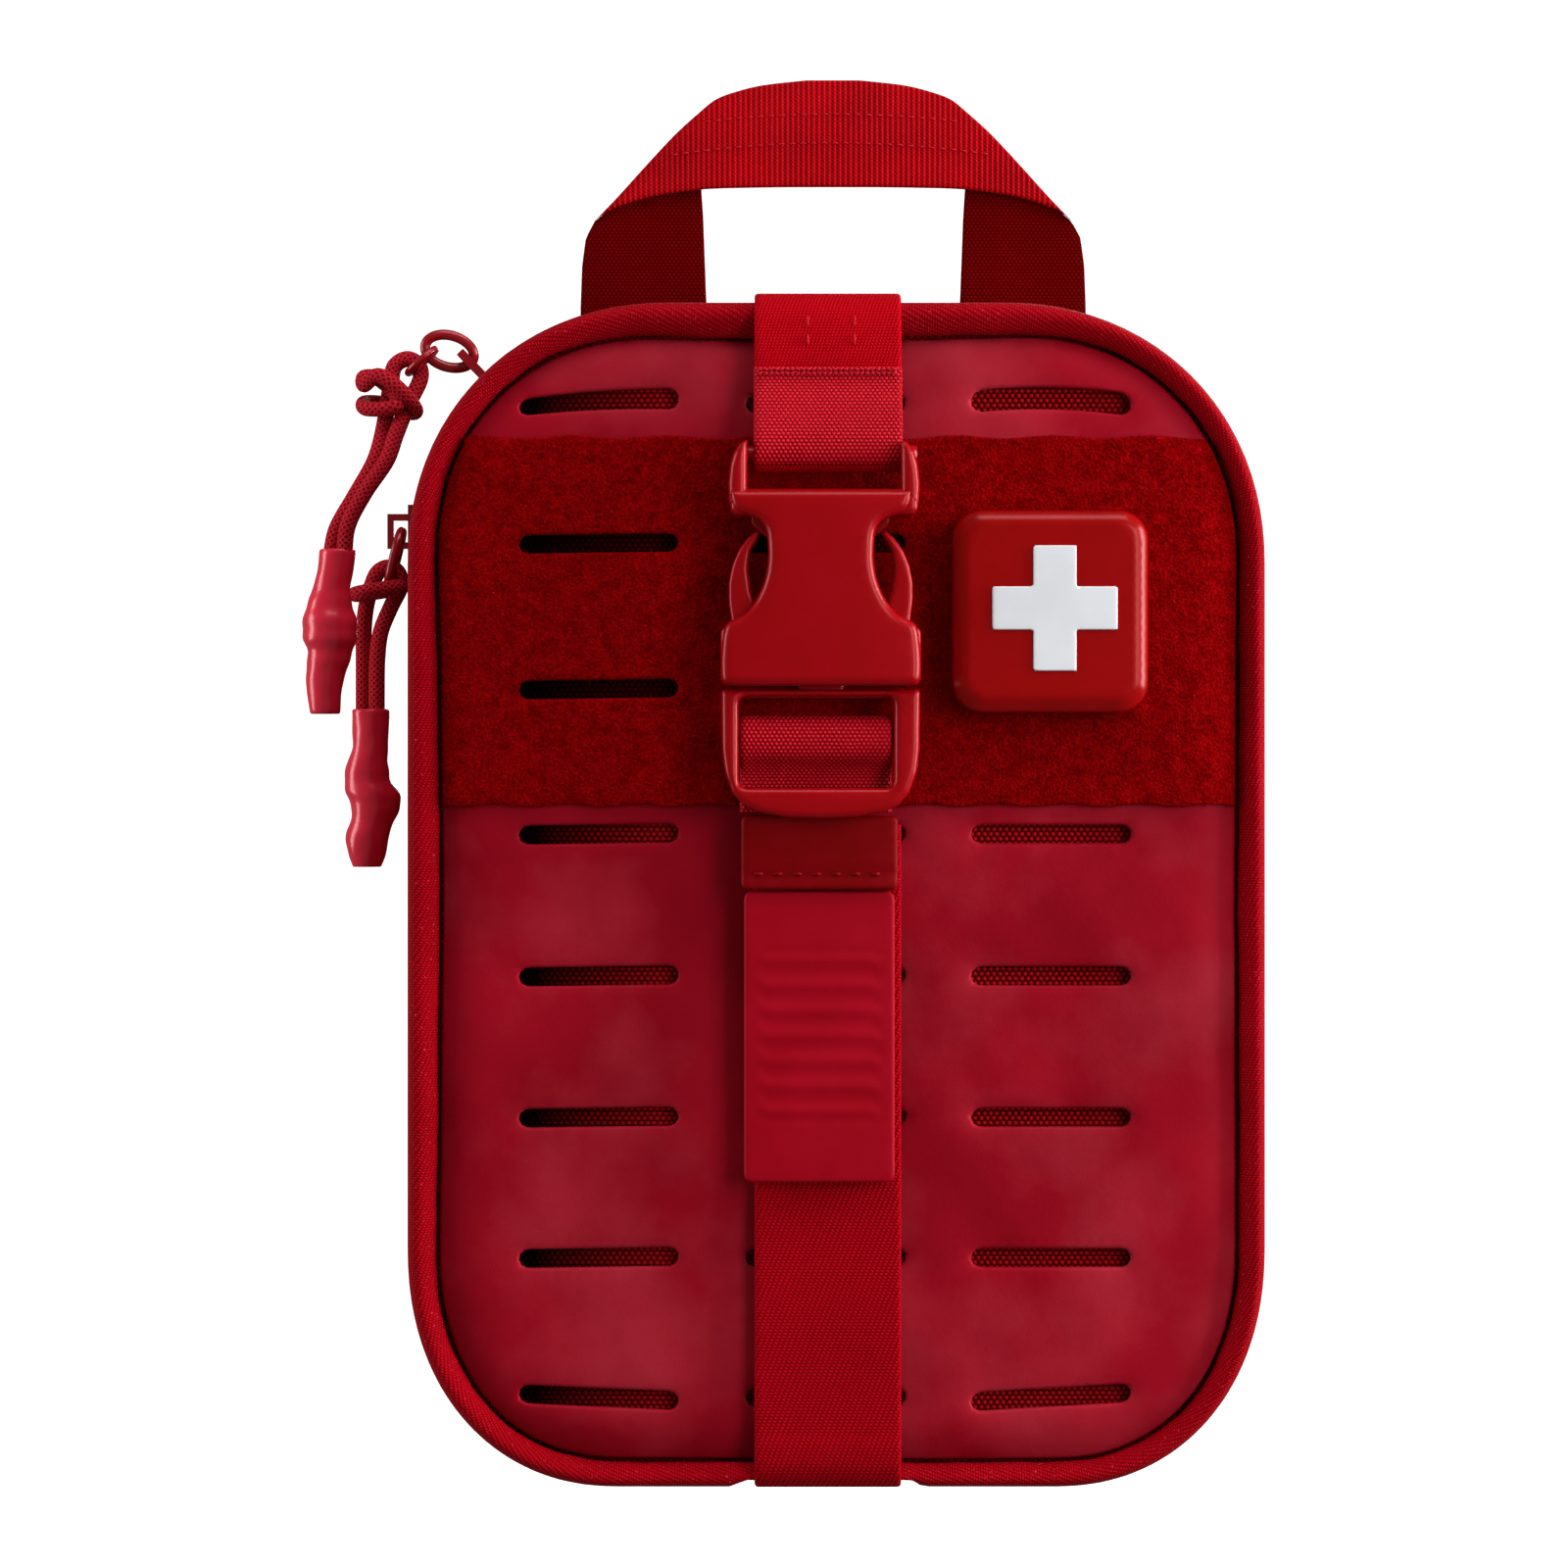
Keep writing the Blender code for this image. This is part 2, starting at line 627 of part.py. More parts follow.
# Straps on the lid
web_low, web_high = STRAP_X - WEBBING_HALF_WIDTH, STRAP_X + WEBBING_HALF_WIDTH
top = CASE_HEIGHT
upper_path = [
    (-13.0 * MM, top - 0.6 * MM), (-28.0 * MM, top - 0.5 * MM), (-32.0 * MM, top + 0.8 * MM),
    (-38.0 * MM, top + 0.9 * MM), (-41.0 * MM, top - 0.2 * MM), (-43.0 * MM, top - 3.0 * MM),
    (-43.7 * MM, top - 7.0 * MM), (-43.7 * MM, END_BAR_Z), (-44.4 * MM, END_BAR_Z - 1.7 * MM),
    (END_BAR_Y, END_BAR_Z - 2.5 * MM), (-48.0 * MM, END_BAR_Z - 1.7 * MM), (-48.7 * MM, END_BAR_Z),
    (-48.2 * MM, END_BAR_Z + 4.0 * MM), (-46.2 * MM, END_BAR_Z + 9.0 * MM),
    (-45.1 * MM, END_BAR_Z + 11.5 * MM), (-45.1 * MM, END_BAR_Z + 15.5 * MM),
]
web("upper_strap", "webbing", upper_path, WEBBING, web_low, web_high, "X")
lower_path = [
    (-14.0 * MM, 0.72 * MM), (-38.8 * MM, 0.72 * MM), (-41.2 * MM, 1.6 * MM), (-42.5 * MM, 4.0 * MM),
    (-42.5 * MM, 8.0 * MM), (-41.0 * MM, 14.0 * MM), (-41.0 * MM, 117.0 * MM),
]
web("lower_strap", "webbing", lower_path, WEBBING, web_low, web_high, "X")

# Buckle socket
half_outline = [
    (BUCKLE_HALF_WIDTH, SHOULDER_LOW), (BUCKLE_HALF_WIDTH, 150.6 * MM), (16.4 * MM, 152.8 * MM),
    (12.6 * MM, 154.0 * MM), (9.8 * MM, 156.0 * MM), (NECK_HALF_WIDTH, 158.6 * MM),
    (NECK_HALF_WIDTH, 166.0 * MM), (9.8 * MM, 168.2 * MM), (13.0 * MM, TOP_BAR_LOW),
    (14.9 * MM, 170.2 * MM), (15.6 * MM, 172.2 * MM), (15.6 * MM, TOP_BAR_HIGH),
]
face_outline = [(BUCKLE_X + x, z) for x, z in half_outline]
face_outline += [(BUCKLE_X - x, z) for x, z in reversed(half_outline)]
socket = front_prism("buckle_socket", "buckle_plastic", face_outline, BUCKLE_FRONT + 2.2 * MM, BUCKLE_FRONT)
pieces = []
for side in (-1, 1):
    x_out = BUCKLE_X + side * BUCKLE_HALF_WIDTH
    x_in = BUCKLE_X + side * SHOULDER_INSIDE
    pieces.append(box("shoulder_side", "buckle_plastic",
                      (min(x_in, x_out), BUCKLE_FRONT + 1.0 * MM, SHOULDER_LOW),
                      (max(x_in, x_out), BUCKLE_BACK, SHOULDER_HIGH - 2.6 * MM)))
    ear_in = BUCKLE_X + side * 13.4 * MM + (STRAP_X - BUCKLE_X)
    ear_out = BUCKLE_X + side * 16.8 * MM + (STRAP_X - BUCKLE_X)
    pieces.append(box("ear", "buckle_plastic", (min(ear_in, ear_out), -52.4 * MM, TOP_BAR_LOW + 0.6 * MM),
                      (max(ear_in, ear_out), -44.6 * MM, EAR_TOP)))
pieces.append(box("shoulder_back", "buckle_plastic",
                  (BUCKLE_X - BUCKLE_HALF_WIDTH, BUCKLE_BACK - 2.0 * MM, SHOULDER_LOW),
                  (BUCKLE_X + BUCKLE_HALF_WIDTH, BUCKLE_BACK, SHOULDER_HIGH - 2.6 * MM)))
pieces.append(box("neck_back", "buckle_plastic",
                  (BUCKLE_X - NECK_HALF_WIDTH, BUCKLE_BACK - 2.0 * MM, SHOULDER_LOW + 1.0 * MM),
                  (BUCKLE_X + NECK_HALF_WIDTH, BUCKLE_BACK, TOP_BAR_LOW + 1.0 * MM)))
pieces.append(box("top_bar", "buckle_plastic", (BUCKLE_X - 15.6 * MM, BUCKLE_FRONT + 1.0 * MM, TOP_BAR_LOW),
                  (BUCKLE_X + 15.6 * MM, BUCKLE_BACK - 0.4 * MM, TOP_BAR_HIGH)))
pieces.append(turned("end_bar", "buckle_plastic", ((0.0, END_BAR_RADIUS), (1.0, END_BAR_RADIUS)),
                     (STRAP_X - 14.5 * MM, END_BAR_Y, END_BAR_Z),
                     (STRAP_X + 14.5 * MM, END_BAR_Y, END_BAR_Z), 8))
unite(socket, pieces)

# Buckle plug: frame, ladder bar and centre prong in one moulding
frame_mid = (FRAME_LOW + FRAME_HIGH) / 2
frame = plate("plug_frame", "buckle_plastic", [
    round_rect(BUCKLE_X, frame_mid, 2 * 17.1 * MM, FRAME_HIGH - FRAME_LOW, 3.4 * MM, 3),
    round_rect(BUCKLE_X, 129.75 * MM, 2 * 14.6 * MM, 13.3 * MM, 0.4 * MM, 1),
], FRAME_BACK, FRAME_FRONT)
unite(frame, [
    box("ladder_bar", "buckle_plastic", (BUCKLE_X - 15.2 * MM, -48.7 * MM, LADDER_BAR_Z - 1.6 * MM),
        (BUCKLE_X + 15.2 * MM, -46.2 * MM, LADDER_BAR_Z + 1.6 * MM)),
    box("prong", "buckle_plastic", (BUCKLE_X - 4.0 * MM, -50.4 * MM, FRAME_HIGH - 1.5 * MM),
        (BUCKLE_X + 4.0 * MM, -47.8 * MM, 161.0 * MM)),
])
tail_path = [
    (-44.25 * MM, 119.0 * MM), (-44.25 * MM, 125.5 * MM), (-45.1 * MM, 129.0 * MM),
    (-45.25 * MM, 133.0 * MM), (-46.0 * MM, 134.9 * MM), (-47.45 * MM, 135.3 * MM),
    (-48.9 * MM, 134.9 * MM), (-49.65 * MM, 133.0 * MM), (-49.65 * MM, 130.6 * MM),
    (-48.6 * MM, 127.4 * MM), (-46.6 * MM, 123.6 * MM), (-46.3 * MM, 119.0 * MM),
]
web("strap_tail", "webbing", tail_path, WEBBING, web_low, web_high, "X")
arm = [
    (9.6, 141.2), (13.7, 141.2), (14.6, 148.0), (15.4, 152.0), (16.0, 156.4), (16.0, 160.0),
    (14.9, 164.4), (12.6, 168.0), (10.6, 167.4), (10.0, 160.0), (9.6, 152.0),
]
for side, sign in (("left", -1), ("right", 1)):
    points = [(BUCKLE_X + sign * x * MM, z * MM) for x, z in arm]
    made = front_prism("latch_arm_" + side, "buckle_plastic", points, -46.8 * MM, -51.0 * MM)
    set_origin(made, (BUCKLE_X + sign * ARM_PIVOT_X, -48.9 * MM, ARM_PIVOT_Z))
sleeve_x = BUCKLE_X - 0.2 * MM
sleeve = box("tab_sleeve", "webbing",
             (sleeve_x - SLEEVE_HALF_WIDTH, TAB_BACK - SLEEVE_THICKNESS, TAB_HIGH + GAP),
             (sleeve_x + SLEEVE_HALF_WIDTH, TAB_BACK, FRAME_LOW - GAP))
bevel(sleeve, 0.6 * MM)
plate("pull_tab", "tab_rubber", [round_rect(sleeve_x, (TAB_LOW + TAB_HIGH) / 2, 2 * TAB_HALF_WIDTH,
                                            TAB_HIGH - TAB_LOW, 1.2 * MM, 2)],
      TAB_BACK, TAB_BACK - TAB_THICKNESS)

# Badge
hook_back = LOOP_FRONT - GAP
hook_outline = round_rect(BADGE_X, BADGE_Z, BADGE_WIDTH - 3.0 * MM, BADGE_HEIGHT - 3.0 * MM, 4.0 * MM, 2)
plate("badge_hook", "hook_sheet", [hook_outline], hook_back, hook_back - HOOK_THICKNESS)
block_back = hook_back - HOOK_THICKNESS - 0.1 * MM
block_rings = (
    (0.0, 0.0, 0.0, 0.0), (0.0, 0.0, 0.0, -4.6), (0.9, 0.45, 0.4, -6.4), (2.2, 0.9, 0.7, -6.9),
)
verts = []
for inset, dx, dz, y in block_rings:
    verts += [(x, block_back + y * MM, z) for x, z in
              round_rect(BADGE_X + dx * MM, BADGE_Z + dz * MM, BADGE_WIDTH - 2 * inset * MM,
                         BADGE_HEIGHT - 2 * inset * MM, 5.0 * MM - inset * MM * 0.5, 3)]
ring = 16
faces = ring_faces(4, ring, False)
faces.append(tuple(range(ring)))
faces.append(tuple(3 * ring + k for k in range(ring)))
add_mesh("badge_block", "badge_red", verts, faces)
cross_back = block_back - BADGE_THICKNESS - 0.02 * MM
arm_half, reach = CROSS_ARM / 2, CROSS_LENGTH / 2
cross = [
    (-arm_half, -reach), (arm_half, -reach), (arm_half, -arm_half), (reach, -arm_half), (reach, arm_half),
    (arm_half, arm_half), (arm_half, reach), (-arm_half, reach), (-arm_half, arm_half), (-reach, arm_half),
    (-reach, -arm_half), (-arm_half, -arm_half),
]
cross = [(BADGE_X + 0.7 * MM + x, BADGE_Z + 0.4 * MM + z) for x, z in cross]
front_prism("badge_cross", "badge_white", cross, cross_back, cross_back - CROSS_THICKNESS)

# Carry handle: a flat loop seen from the front, leaning back a little at its grip
outer = [
    (47.0, 211.0), (47.4, 218.0), (47.0, 225.0), (45.0, 230.0), (40.6, 235.4), (34.2, 241.8),
    (27.6, 248.2), (22.4, 252.2), (16.0, 254.6), (7.0, 255.8),
]
inner = [(23.6, 211.0), (24.0, 218.0), (24.2, 226.0), (24.0, 232.0), (22.0, 234.8), (8.0, 235.6)]

loop_outline = [(x * MM, z * MM) for x, z in outer] + [(-x * MM, z * MM) for x, z in reversed(outer)]
loop_outline += [(-x * MM, z * MM) for x, z in inner] + [(x * MM, z * MM) for x, z in reversed(inner)]
handle = front_prism("handle_loop", "webbing", loop_outline, HANDLE_Y + HANDLE_THICKNESS / 2,
                     HANDLE_Y - HANDLE_THICKNESS / 2)
set_origin(handle, (0.0, HANDLE_Y, HANDLE_PIVOT_Z))


def outline_run(x_low, x_high, steps):
    """Points on the top outline between two x values, as (x, z, nx, nz)."""
    tops = [(p, n) for p, n in zip(OUTLINE, NORMALS) if p[1] > CASE_HEIGHT - TOP_CORNER_Z]
    tops.sort(key=lambda item: item[0][0])
    run = []
    for i in range(steps + 1):
        x = x_low + (x_high - x_low) * i / steps
        for (pa, na), (pb, nb) in zip(tops, tops[1:]):
            if pa[0] <= x <= pb[0]:
                t = (x - pa[0]) / (pb[0] - pa[0])
                run.append((x, pa[1] + (pb[1] - pa[1]) * t, na[0] + (nb[0] - na[0]) * t,
                            na[1] + (nb[1] - na[1]) * t))
                break
    return run


foot_section = [
    (WALL_INSET - 0.15 * MM, 12.3 * MM), (WALL_INSET - 0.15 * MM, 29.6 * MM), (-0.5 * MM, 29.6 * MM),
    (-0.5 * MM, 12.3 * MM),
]
outline_strip("handle_foot_left", "webbing", foot_section, outline_run(-46.4 * MM, -23.4 * MM, 4))
outline_strip("handle_foot_right", "webbing", foot_section, outline_run(23.4 * MM, 46.4 * MM, 4))


# Sliders: an outer plate, a thin web through the seam, an inner plate and an arch for the puller
def slider(name, centre, out, arch_axis, arch_reach):
    out = Vector(out).normalized()
    width = Vector((0, 1, 0))
    along = out.cross(width)
    centre = Vector(centre)

    def block(low, high):
        verts = []
        for a in (low[0], high[0]):
            for w in (low[1], high[1]):
                for r in (low[2], high[2]):
                    verts.append(centre + along * a * MM + width * w * MM + out * r * MM)
        faces = [(0, 1, 3, 2), (4, 6, 7, 5), (0, 4, 5, 1), (2, 3, 7, 6), (0, 2, 6, 4), (1, 5, 7, 3)]
        return add_mesh("block", "zip_metal", verts, faces)

    half = SLIDER_LENGTH / MM / 2
    wide = SLIDER_HALF_WIDTH / MM
    plate_top = 0.6 + SLIDER_PLATE / MM
    body = block((-half, -wide, 0.6), (half, wide, plate_top))
    body.name = name
    parts = [block((-half + 1.5, -0.14, -5.4), (half - 1.5, 0.14, 1.6)),
             block((-half + 0.6, -3.2, -6.0), (half - 0.6, 3.2, -4.8))]
    if arch_axis == "ALONG":
        parts += [block((-0.8, -2.9, plate_top - 0.4), (0.8, -1.8, arch_reach)),
                  block((-0.8, 1.8, plate_top - 0.4), (0.8, 2.9, arch_reach)),
                  block((-0.8, -2.9, arch_reach - 1.2), (0.8, 2.9, arch_reach))]
    else:
        parts += [block((-3.2, -1.0, plate_top - 0.4), (-2.0, 1.0, arch_reach)),
                  block((2.0, -1.0, plate_top - 0.4), (3.2, 1.0, arch_reach)),
                  block((-3.2, -1.0, arch_reach - 1.2), (3.2, 1.0, arch_reach))]
    unite(body, parts)
    return body


upper_angle = math.radians(180.0 - UPPER_SLIDER_ANGLE)
upper_out = Vector((math.cos(upper_angle), 0.0, math.sin(upper_angle)))
arc_centre = Vector((ARC_CENTRE_X, 0.0, ARC_CENTRE_Z))
upper_centre = arc_centre + upper_out * ARC_RADIUS
upper_slider = slider("upper_slider", upper_centre, upper_out, "ALONG", 9.6)
set_origin(upper_slider, arc_centre)
upper_bar = upper_centre + upper_out * 9.0 * MM
upper_ring_centre = upper_bar + Vector((-2.5 * MM, 0.0, 0.7 * MM))
ring_along = Vector((-0.96, 0.0, 0.28))
upper_ring = loop_ring("upper_puller_ring", "zip_metal", upper_ring_centre, ring_along,
                       Vector((0.28, 0.0, 0.96)), 4.5 * MM, 2.9 * MM, 0.95 * MM)
set_origin(upper_ring, upper_bar)
link_centre = upper_ring_centre + Vector((-5.1, 0.0, -1.75)) * MM
loop_ring("upper_puller_link", "zip_metal", link_centre, Vector((-0.755, 0.0, -0.656)),
          Vector((0.0, 1.0, 0.0)), 3.3 * MM, 2.6 * MM, 0.7 * MM, 12, 6)

lower_out = Vector((-1.0, 0.0, 0.0))
lower_centre = Vector((-CASE_HALF_WIDTH + 0.1 * MM, 0.0, LOWER_SLIDER_Z))
slider("lower_slider", lower_centre, lower_out, "ACROSS", 6.6)
lower_bar = lower_centre + lower_out * 4.0 * MM
lower_ring_centre = lower_bar + Vector((-1.2 * MM, 0.0, -4.75 * MM))
lower_ring = loop_ring("lower_puller_ring", "zip_metal", lower_ring_centre, Vector((-0.245, 0.0, -0.97)),
                       Vector((0.0, 1.0, 0.0)), 4.9 * MM, 3.0 * MM, 0.9 * MM)
set_origin(lower_ring, lower_bar)

TIP_PROFILE = (
    (0.0, 2.6 * MM), (0.18, 3.0 * MM), (0.32, 4.2 * MM), (0.42, 4.7 * MM), (0.52, 4.1 * MM),
    (0.60, 3.2 * MM), (0.70, 3.9 * MM), (0.78, 3.5 * MM), (0.86, 2.7 * MM), (1.0, 2.4 * MM),
)
cord("upper_cord", "cord_braid", UPPER_CORD_ROUTE, CORD_DIAMETER)
cord("lower_cord", "cord_braid", LOWER_CORD_ROUTE, CORD_DIAMETER)
turned("upper_cord_tip", "tip_moulding", TIP_PROFILE,
       (-88.5 * MM, -9.2 * MM, 170.1 * MM), (-94.3 * MM, -10.4 * MM, 136.6 * MM))
turned("lower_cord_tip", "tip_moulding", TIP_PROFILE,
       (-85.0 * MM, -0.4 * MM, 139.9 * MM), (-85.3 * MM, -0.8 * MM, 108.6 * MM))
loop_ring("upper_cord_knot", "cord_braid", Vector((-81.1, -3.5, 190.8)) * MM, Vector((1.0, 0.0, 0.1)),
          Vector((0.0, 1.0, 0.0)), 5.8 * MM, 4.2 * MM, 1.3 * MM, 14, 6)
loop_ring("lower_cord_knot", "cord_braid", Vector((-82.2, 0.0, 155.4)) * MM, Vector((1.0, 0.0, 0.0)),
          Vector((0.0, 1.0, 0.0)), 5.2 * MM, 3.3 * MM, 1.3 * MM, 14, 6)

# Inside the back half
tray("organiser_sheet", "lining", [
    (SHEET_INSET, ORGANISER_FRONT), (SHEET_INSET, ORGANISER_FRONT + ORGANISER_THICKNESS),
])
hump_fronts = ((-66.6, -25.2, 10.6), (22.2, 66.6, 12.4))
band_path = [(-67.9, 32.3)]
for x_low, x_high, y_front in hump_fronts:
    band_path += [(x_low, 32.3), (x_low + 0.4, y_front + 1.6), (x_low + 2.2, y_front),
                  (x_high - 2.2, y_front), (x_high - 0.4, y_front + 1.6), (x_high, 32.3)]
band_path.append((67.9, 32.3))
band_path = [(x * MM, y * MM) for x, y in band_path]
for level, z in (("lower", 60.0 * MM), ("upper", 132.0 * MM)):
    web("elastic_band_" + level, "elastic", band_path, BAND_THICKNESS, z, z + BAND_HEIGHT, "Z")
shears_path = [
    (-14.0, 32.3), (-10.0, 32.3), (-9.6, 25.2), (-7.8, 23.6),
    (7.8, 23.6), (9.6, 25.2), (10.0, 32.3), (14.0, 32.3),
]
shears_path = [(SHEARS_X + x * MM, y * MM) for x, y in shears_path]
web("shears_loop", "elastic", shears_path, BAND_THICKNESS, SHEARS_Z - 7.0 * MM, SHEARS_Z + 7.0 * MM, "Z")
bandage = box("pressure_bandage", "wrapper",
              (-64.6 * MM, 13.0 * MM, 100.0 * MM), (-27.4 * MM, 32.6 * MM, 178.0 * MM))
bevel(bandage, 5.0 * MM, 2)
roll_profile = (
    (0.0, ROLL_RADIUS - 0.8 * MM), (0.03, ROLL_RADIUS), (0.97, ROLL_RADIUS), (1.0, ROLL_RADIUS - 0.8 * MM),
)
turned("gauze_roll", "gauze", roll_profile,
       (-46.0 * MM, 22.3 * MM, 96.0 * MM), (-46.0 * MM, 22.3 * MM, 24.0 * MM), 16)
packet = box("gauze_packet", "paper", (26.0 * MM, 25.0 * MM, 102.0 * MM), (64.0 * MM, 32.4 * MM, 176.0 * MM))
bevel(packet, 1.6 * MM, 1)
packet = box("dressing_packet", "wrapper",
             (27.0 * MM, 15.2 * MM, 106.0 * MM), (63.0 * MM, 24.6 * MM, 170.0 * MM))
bevel(packet, 2.0 * MM, 1)
gloves = box("glove_packet", "wrapper", (26.0 * MM, 15.6 * MM, 24.0 * MM), (64.0 * MM, 32.2 * MM, 94.0 * MM))
bevel(gloves, 4.0 * MM, 2)

# Shears: two flat blades on one rivet, the finger loops upward
def shears_outline(sign):
    """One blade and its finger loop as the outline and the hole, in millimetres about the rivet."""
    outline = [(0.6, -62.0), (2.6, -60.0), (5.2, -34.0), (5.6, -8.0), (4.6, 2.0), (-0.6, 12.0), (-1.0, 18.0),
               (-1.4, 46.0), (-5.0, 53.0), (-11.0, 54.0), (-16.2, 49.0), (-17.0, 30.0), (-13.0, 18.0),
               (-6.0, 8.0), (-4.6, -2.0), (-1.6, -12.0), (-0.6, -36.0)]
    hole = [
        (-4.6, 21.0), (-4.2, 44.0), (-7.0, 49.0), (-11.0, 49.4), (-13.6, 46.0), (-13.8, 31.0), (-10.6, 21.6),
    ]
    made = []
    for loop in (outline, hole):
        points = [(SHEARS_X + sign * x * MM, SHEARS_Z + z * MM) for x, z in loop]
        made.append(points)
    return made


first = SHEARS_BACK
second = first - BLADE_THICKNESS - 0.2 * MM
plate("shears_blade_fixed", "steel", shears_outline(1), first, first - BLADE_THICKNESS)
moving = plate("shears_blade_moving", "steel", shears_outline(-1), second, second - BLADE_THICKNESS)
set_origin(moving, (SHEARS_X, second, SHEARS_Z))
turned("shears_rivet", "steel", ((0.0, RIVET_RADIUS - 0.4 * MM), (0.4, RIVET_RADIUS), (1.0, RIVET_RADIUS)),
       (SHEARS_X, second - BLADE_THICKNESS - 1.1 * MM, SHEARS_Z),
       (SHEARS_X, second - BLADE_THICKNESS - 0.1 * MM, SHEARS_Z), 12)

# Mesh pocket in the lid
pocket_path = [(-62.0, -34.3), (-59.0, -30.4), (-55.0, -27.6), (55.0, -27.6), (59.0, -30.4), (62.0, -34.3)]
pocket_path = [(x * MM, y * MM) for x, y in pocket_path]
web("lid_mesh_pocket", "mesh_net", pocket_path, 0.7 * MM, 23.0 * MM, 127.7 * MM, "Z")
web("lid_pocket_binding", "elastic", pocket_path, 1.3 * MM, 128.0 * MM, 136.0 * MM, "Z")
packet = box("wound_strip_packet", "paper",
             (-52.0 * MM, -34.6 * MM, 24.0 * MM), (-4.0 * MM, -29.4 * MM, 104.0 * MM))
bevel(packet, 1.4 * MM, 1)
box("guide_card", "paper", (4.0 * MM, -34.6 * MM, 22.0 * MM), (52.0 * MM, -32.6 * MM, 112.0 * MM))

# Rear webbing and attachment straps
rear_face = SHELL_FACE + GAP
for number, z in enumerate(REAR_ROWS, 1):
    half = REAR_WEBBING_HEIGHT / 2
    plate("rear_webbing_%d" % number, "webbing", [round_rect(0.0, z, 2 * REAR_WEBBING_HALF_WIDTH,
          REAR_WEBBING_HEIGHT, 0.8 * MM, 1)], rear_face, rear_face + REAR_WEBBING_THICKNESS)
strap_face = rear_face + REAR_WEBBING_THICKNESS + 0.2 * MM
for side, x in (("left", REAR_STRAPS[0]), ("right", REAR_STRAPS[1])):
    plate("rear_strap_" + side, "webbing", [round_rect(x, 103.0 * MM, 2 * REAR_STRAP_HALF_WIDTH, 156.0 * MM,
          2.0 * MM, 1)], strap_face, strap_face + 1.8 * MM)
    turned("snap_cap_" + side, "zip_metal",
           ((0.0, SNAP_RADIUS), (0.6, SNAP_RADIUS), (1.0, SNAP_RADIUS - 1.4 * MM)),
           (x, strap_face + 1.9 * MM, 36.0 * MM), (x, strap_face + 3.5 * MM, 36.0 * MM), 16)
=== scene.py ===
# %% [markdown]
# # A first aid kit pouch
# A soft clamshell case with a zip round it, a slotted rubbery panel and a fuzzy band on the front, a strap
# with a side-release buckle, a badge with a white cross, a webbing handle and two knotted cord pulls.
# The solid parts already exist. This script dresses each of them as the maker would finish it.

# %% Load the frame
import json
import math

import bmesh
import bpy
import numpy as np
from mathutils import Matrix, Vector
from mathutils.geometry import delaunay_2d_cdt

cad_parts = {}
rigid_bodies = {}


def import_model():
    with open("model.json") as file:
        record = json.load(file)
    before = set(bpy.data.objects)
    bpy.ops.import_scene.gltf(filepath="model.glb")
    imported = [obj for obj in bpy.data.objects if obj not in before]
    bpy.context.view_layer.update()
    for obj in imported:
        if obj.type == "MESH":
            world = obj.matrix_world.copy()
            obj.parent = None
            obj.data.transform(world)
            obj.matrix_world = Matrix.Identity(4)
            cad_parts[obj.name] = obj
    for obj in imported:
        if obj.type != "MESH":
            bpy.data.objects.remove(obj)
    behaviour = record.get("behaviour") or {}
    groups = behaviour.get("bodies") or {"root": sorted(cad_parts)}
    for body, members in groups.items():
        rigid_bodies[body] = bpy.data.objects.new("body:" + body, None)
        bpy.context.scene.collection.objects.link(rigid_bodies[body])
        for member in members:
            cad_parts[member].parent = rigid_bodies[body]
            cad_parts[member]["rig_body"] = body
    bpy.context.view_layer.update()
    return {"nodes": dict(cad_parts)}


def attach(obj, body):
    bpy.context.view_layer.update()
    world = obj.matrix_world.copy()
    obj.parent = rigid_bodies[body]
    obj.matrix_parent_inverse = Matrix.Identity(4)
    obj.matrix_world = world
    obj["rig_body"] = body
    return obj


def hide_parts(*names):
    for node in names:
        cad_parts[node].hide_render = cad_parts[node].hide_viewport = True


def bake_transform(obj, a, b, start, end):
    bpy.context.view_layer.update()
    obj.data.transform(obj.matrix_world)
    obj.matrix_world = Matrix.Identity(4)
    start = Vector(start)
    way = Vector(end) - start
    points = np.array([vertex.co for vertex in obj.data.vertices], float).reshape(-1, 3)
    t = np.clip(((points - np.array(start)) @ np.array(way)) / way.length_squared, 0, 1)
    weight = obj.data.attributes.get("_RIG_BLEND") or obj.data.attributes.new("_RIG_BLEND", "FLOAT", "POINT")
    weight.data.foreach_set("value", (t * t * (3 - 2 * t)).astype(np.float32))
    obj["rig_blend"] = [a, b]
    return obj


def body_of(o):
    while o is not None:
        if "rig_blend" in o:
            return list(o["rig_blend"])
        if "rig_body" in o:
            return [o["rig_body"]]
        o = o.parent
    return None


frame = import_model()
NODES = frame["nodes"]
MM = 0.001

# %% [markdown]
# ## Camera and light
# The case hangs by its back straps, seen straight from the front and from a good way off, so that the
# outline stays true. A wide pale floor turns up into a wall all round, low enough for the lid to drop open.
# It adds no light of its own. Soft lamps from both sides give the thin bright lines on the moulded edges.

# %% Camera, floor and lights
scene = bpy.context.scene
camera = bpy.data.objects.new("camera", bpy.data.cameras.new("camera"))
camera.location = (-0.0092, -0.8898, 0.124)
camera.rotation_euler = (math.radians(90.0), 0.0, 0.0)
camera.data.lens = 110.9
camera.data.sensor_width = 36.0
scene.collection.objects.link(camera)
scene.camera = camera
scene.view_settings.view_transform = "Standard"

world = bpy.data.worlds.new("studio")
scene.world = world
world.use_nodes = True
world.node_tree.nodes["Background"].inputs["Color"].default_value = (1.0, 1.0, 1.0, 1.0)
world.node_tree.nodes["Background"].inputs["Strength"].default_value = 0.22


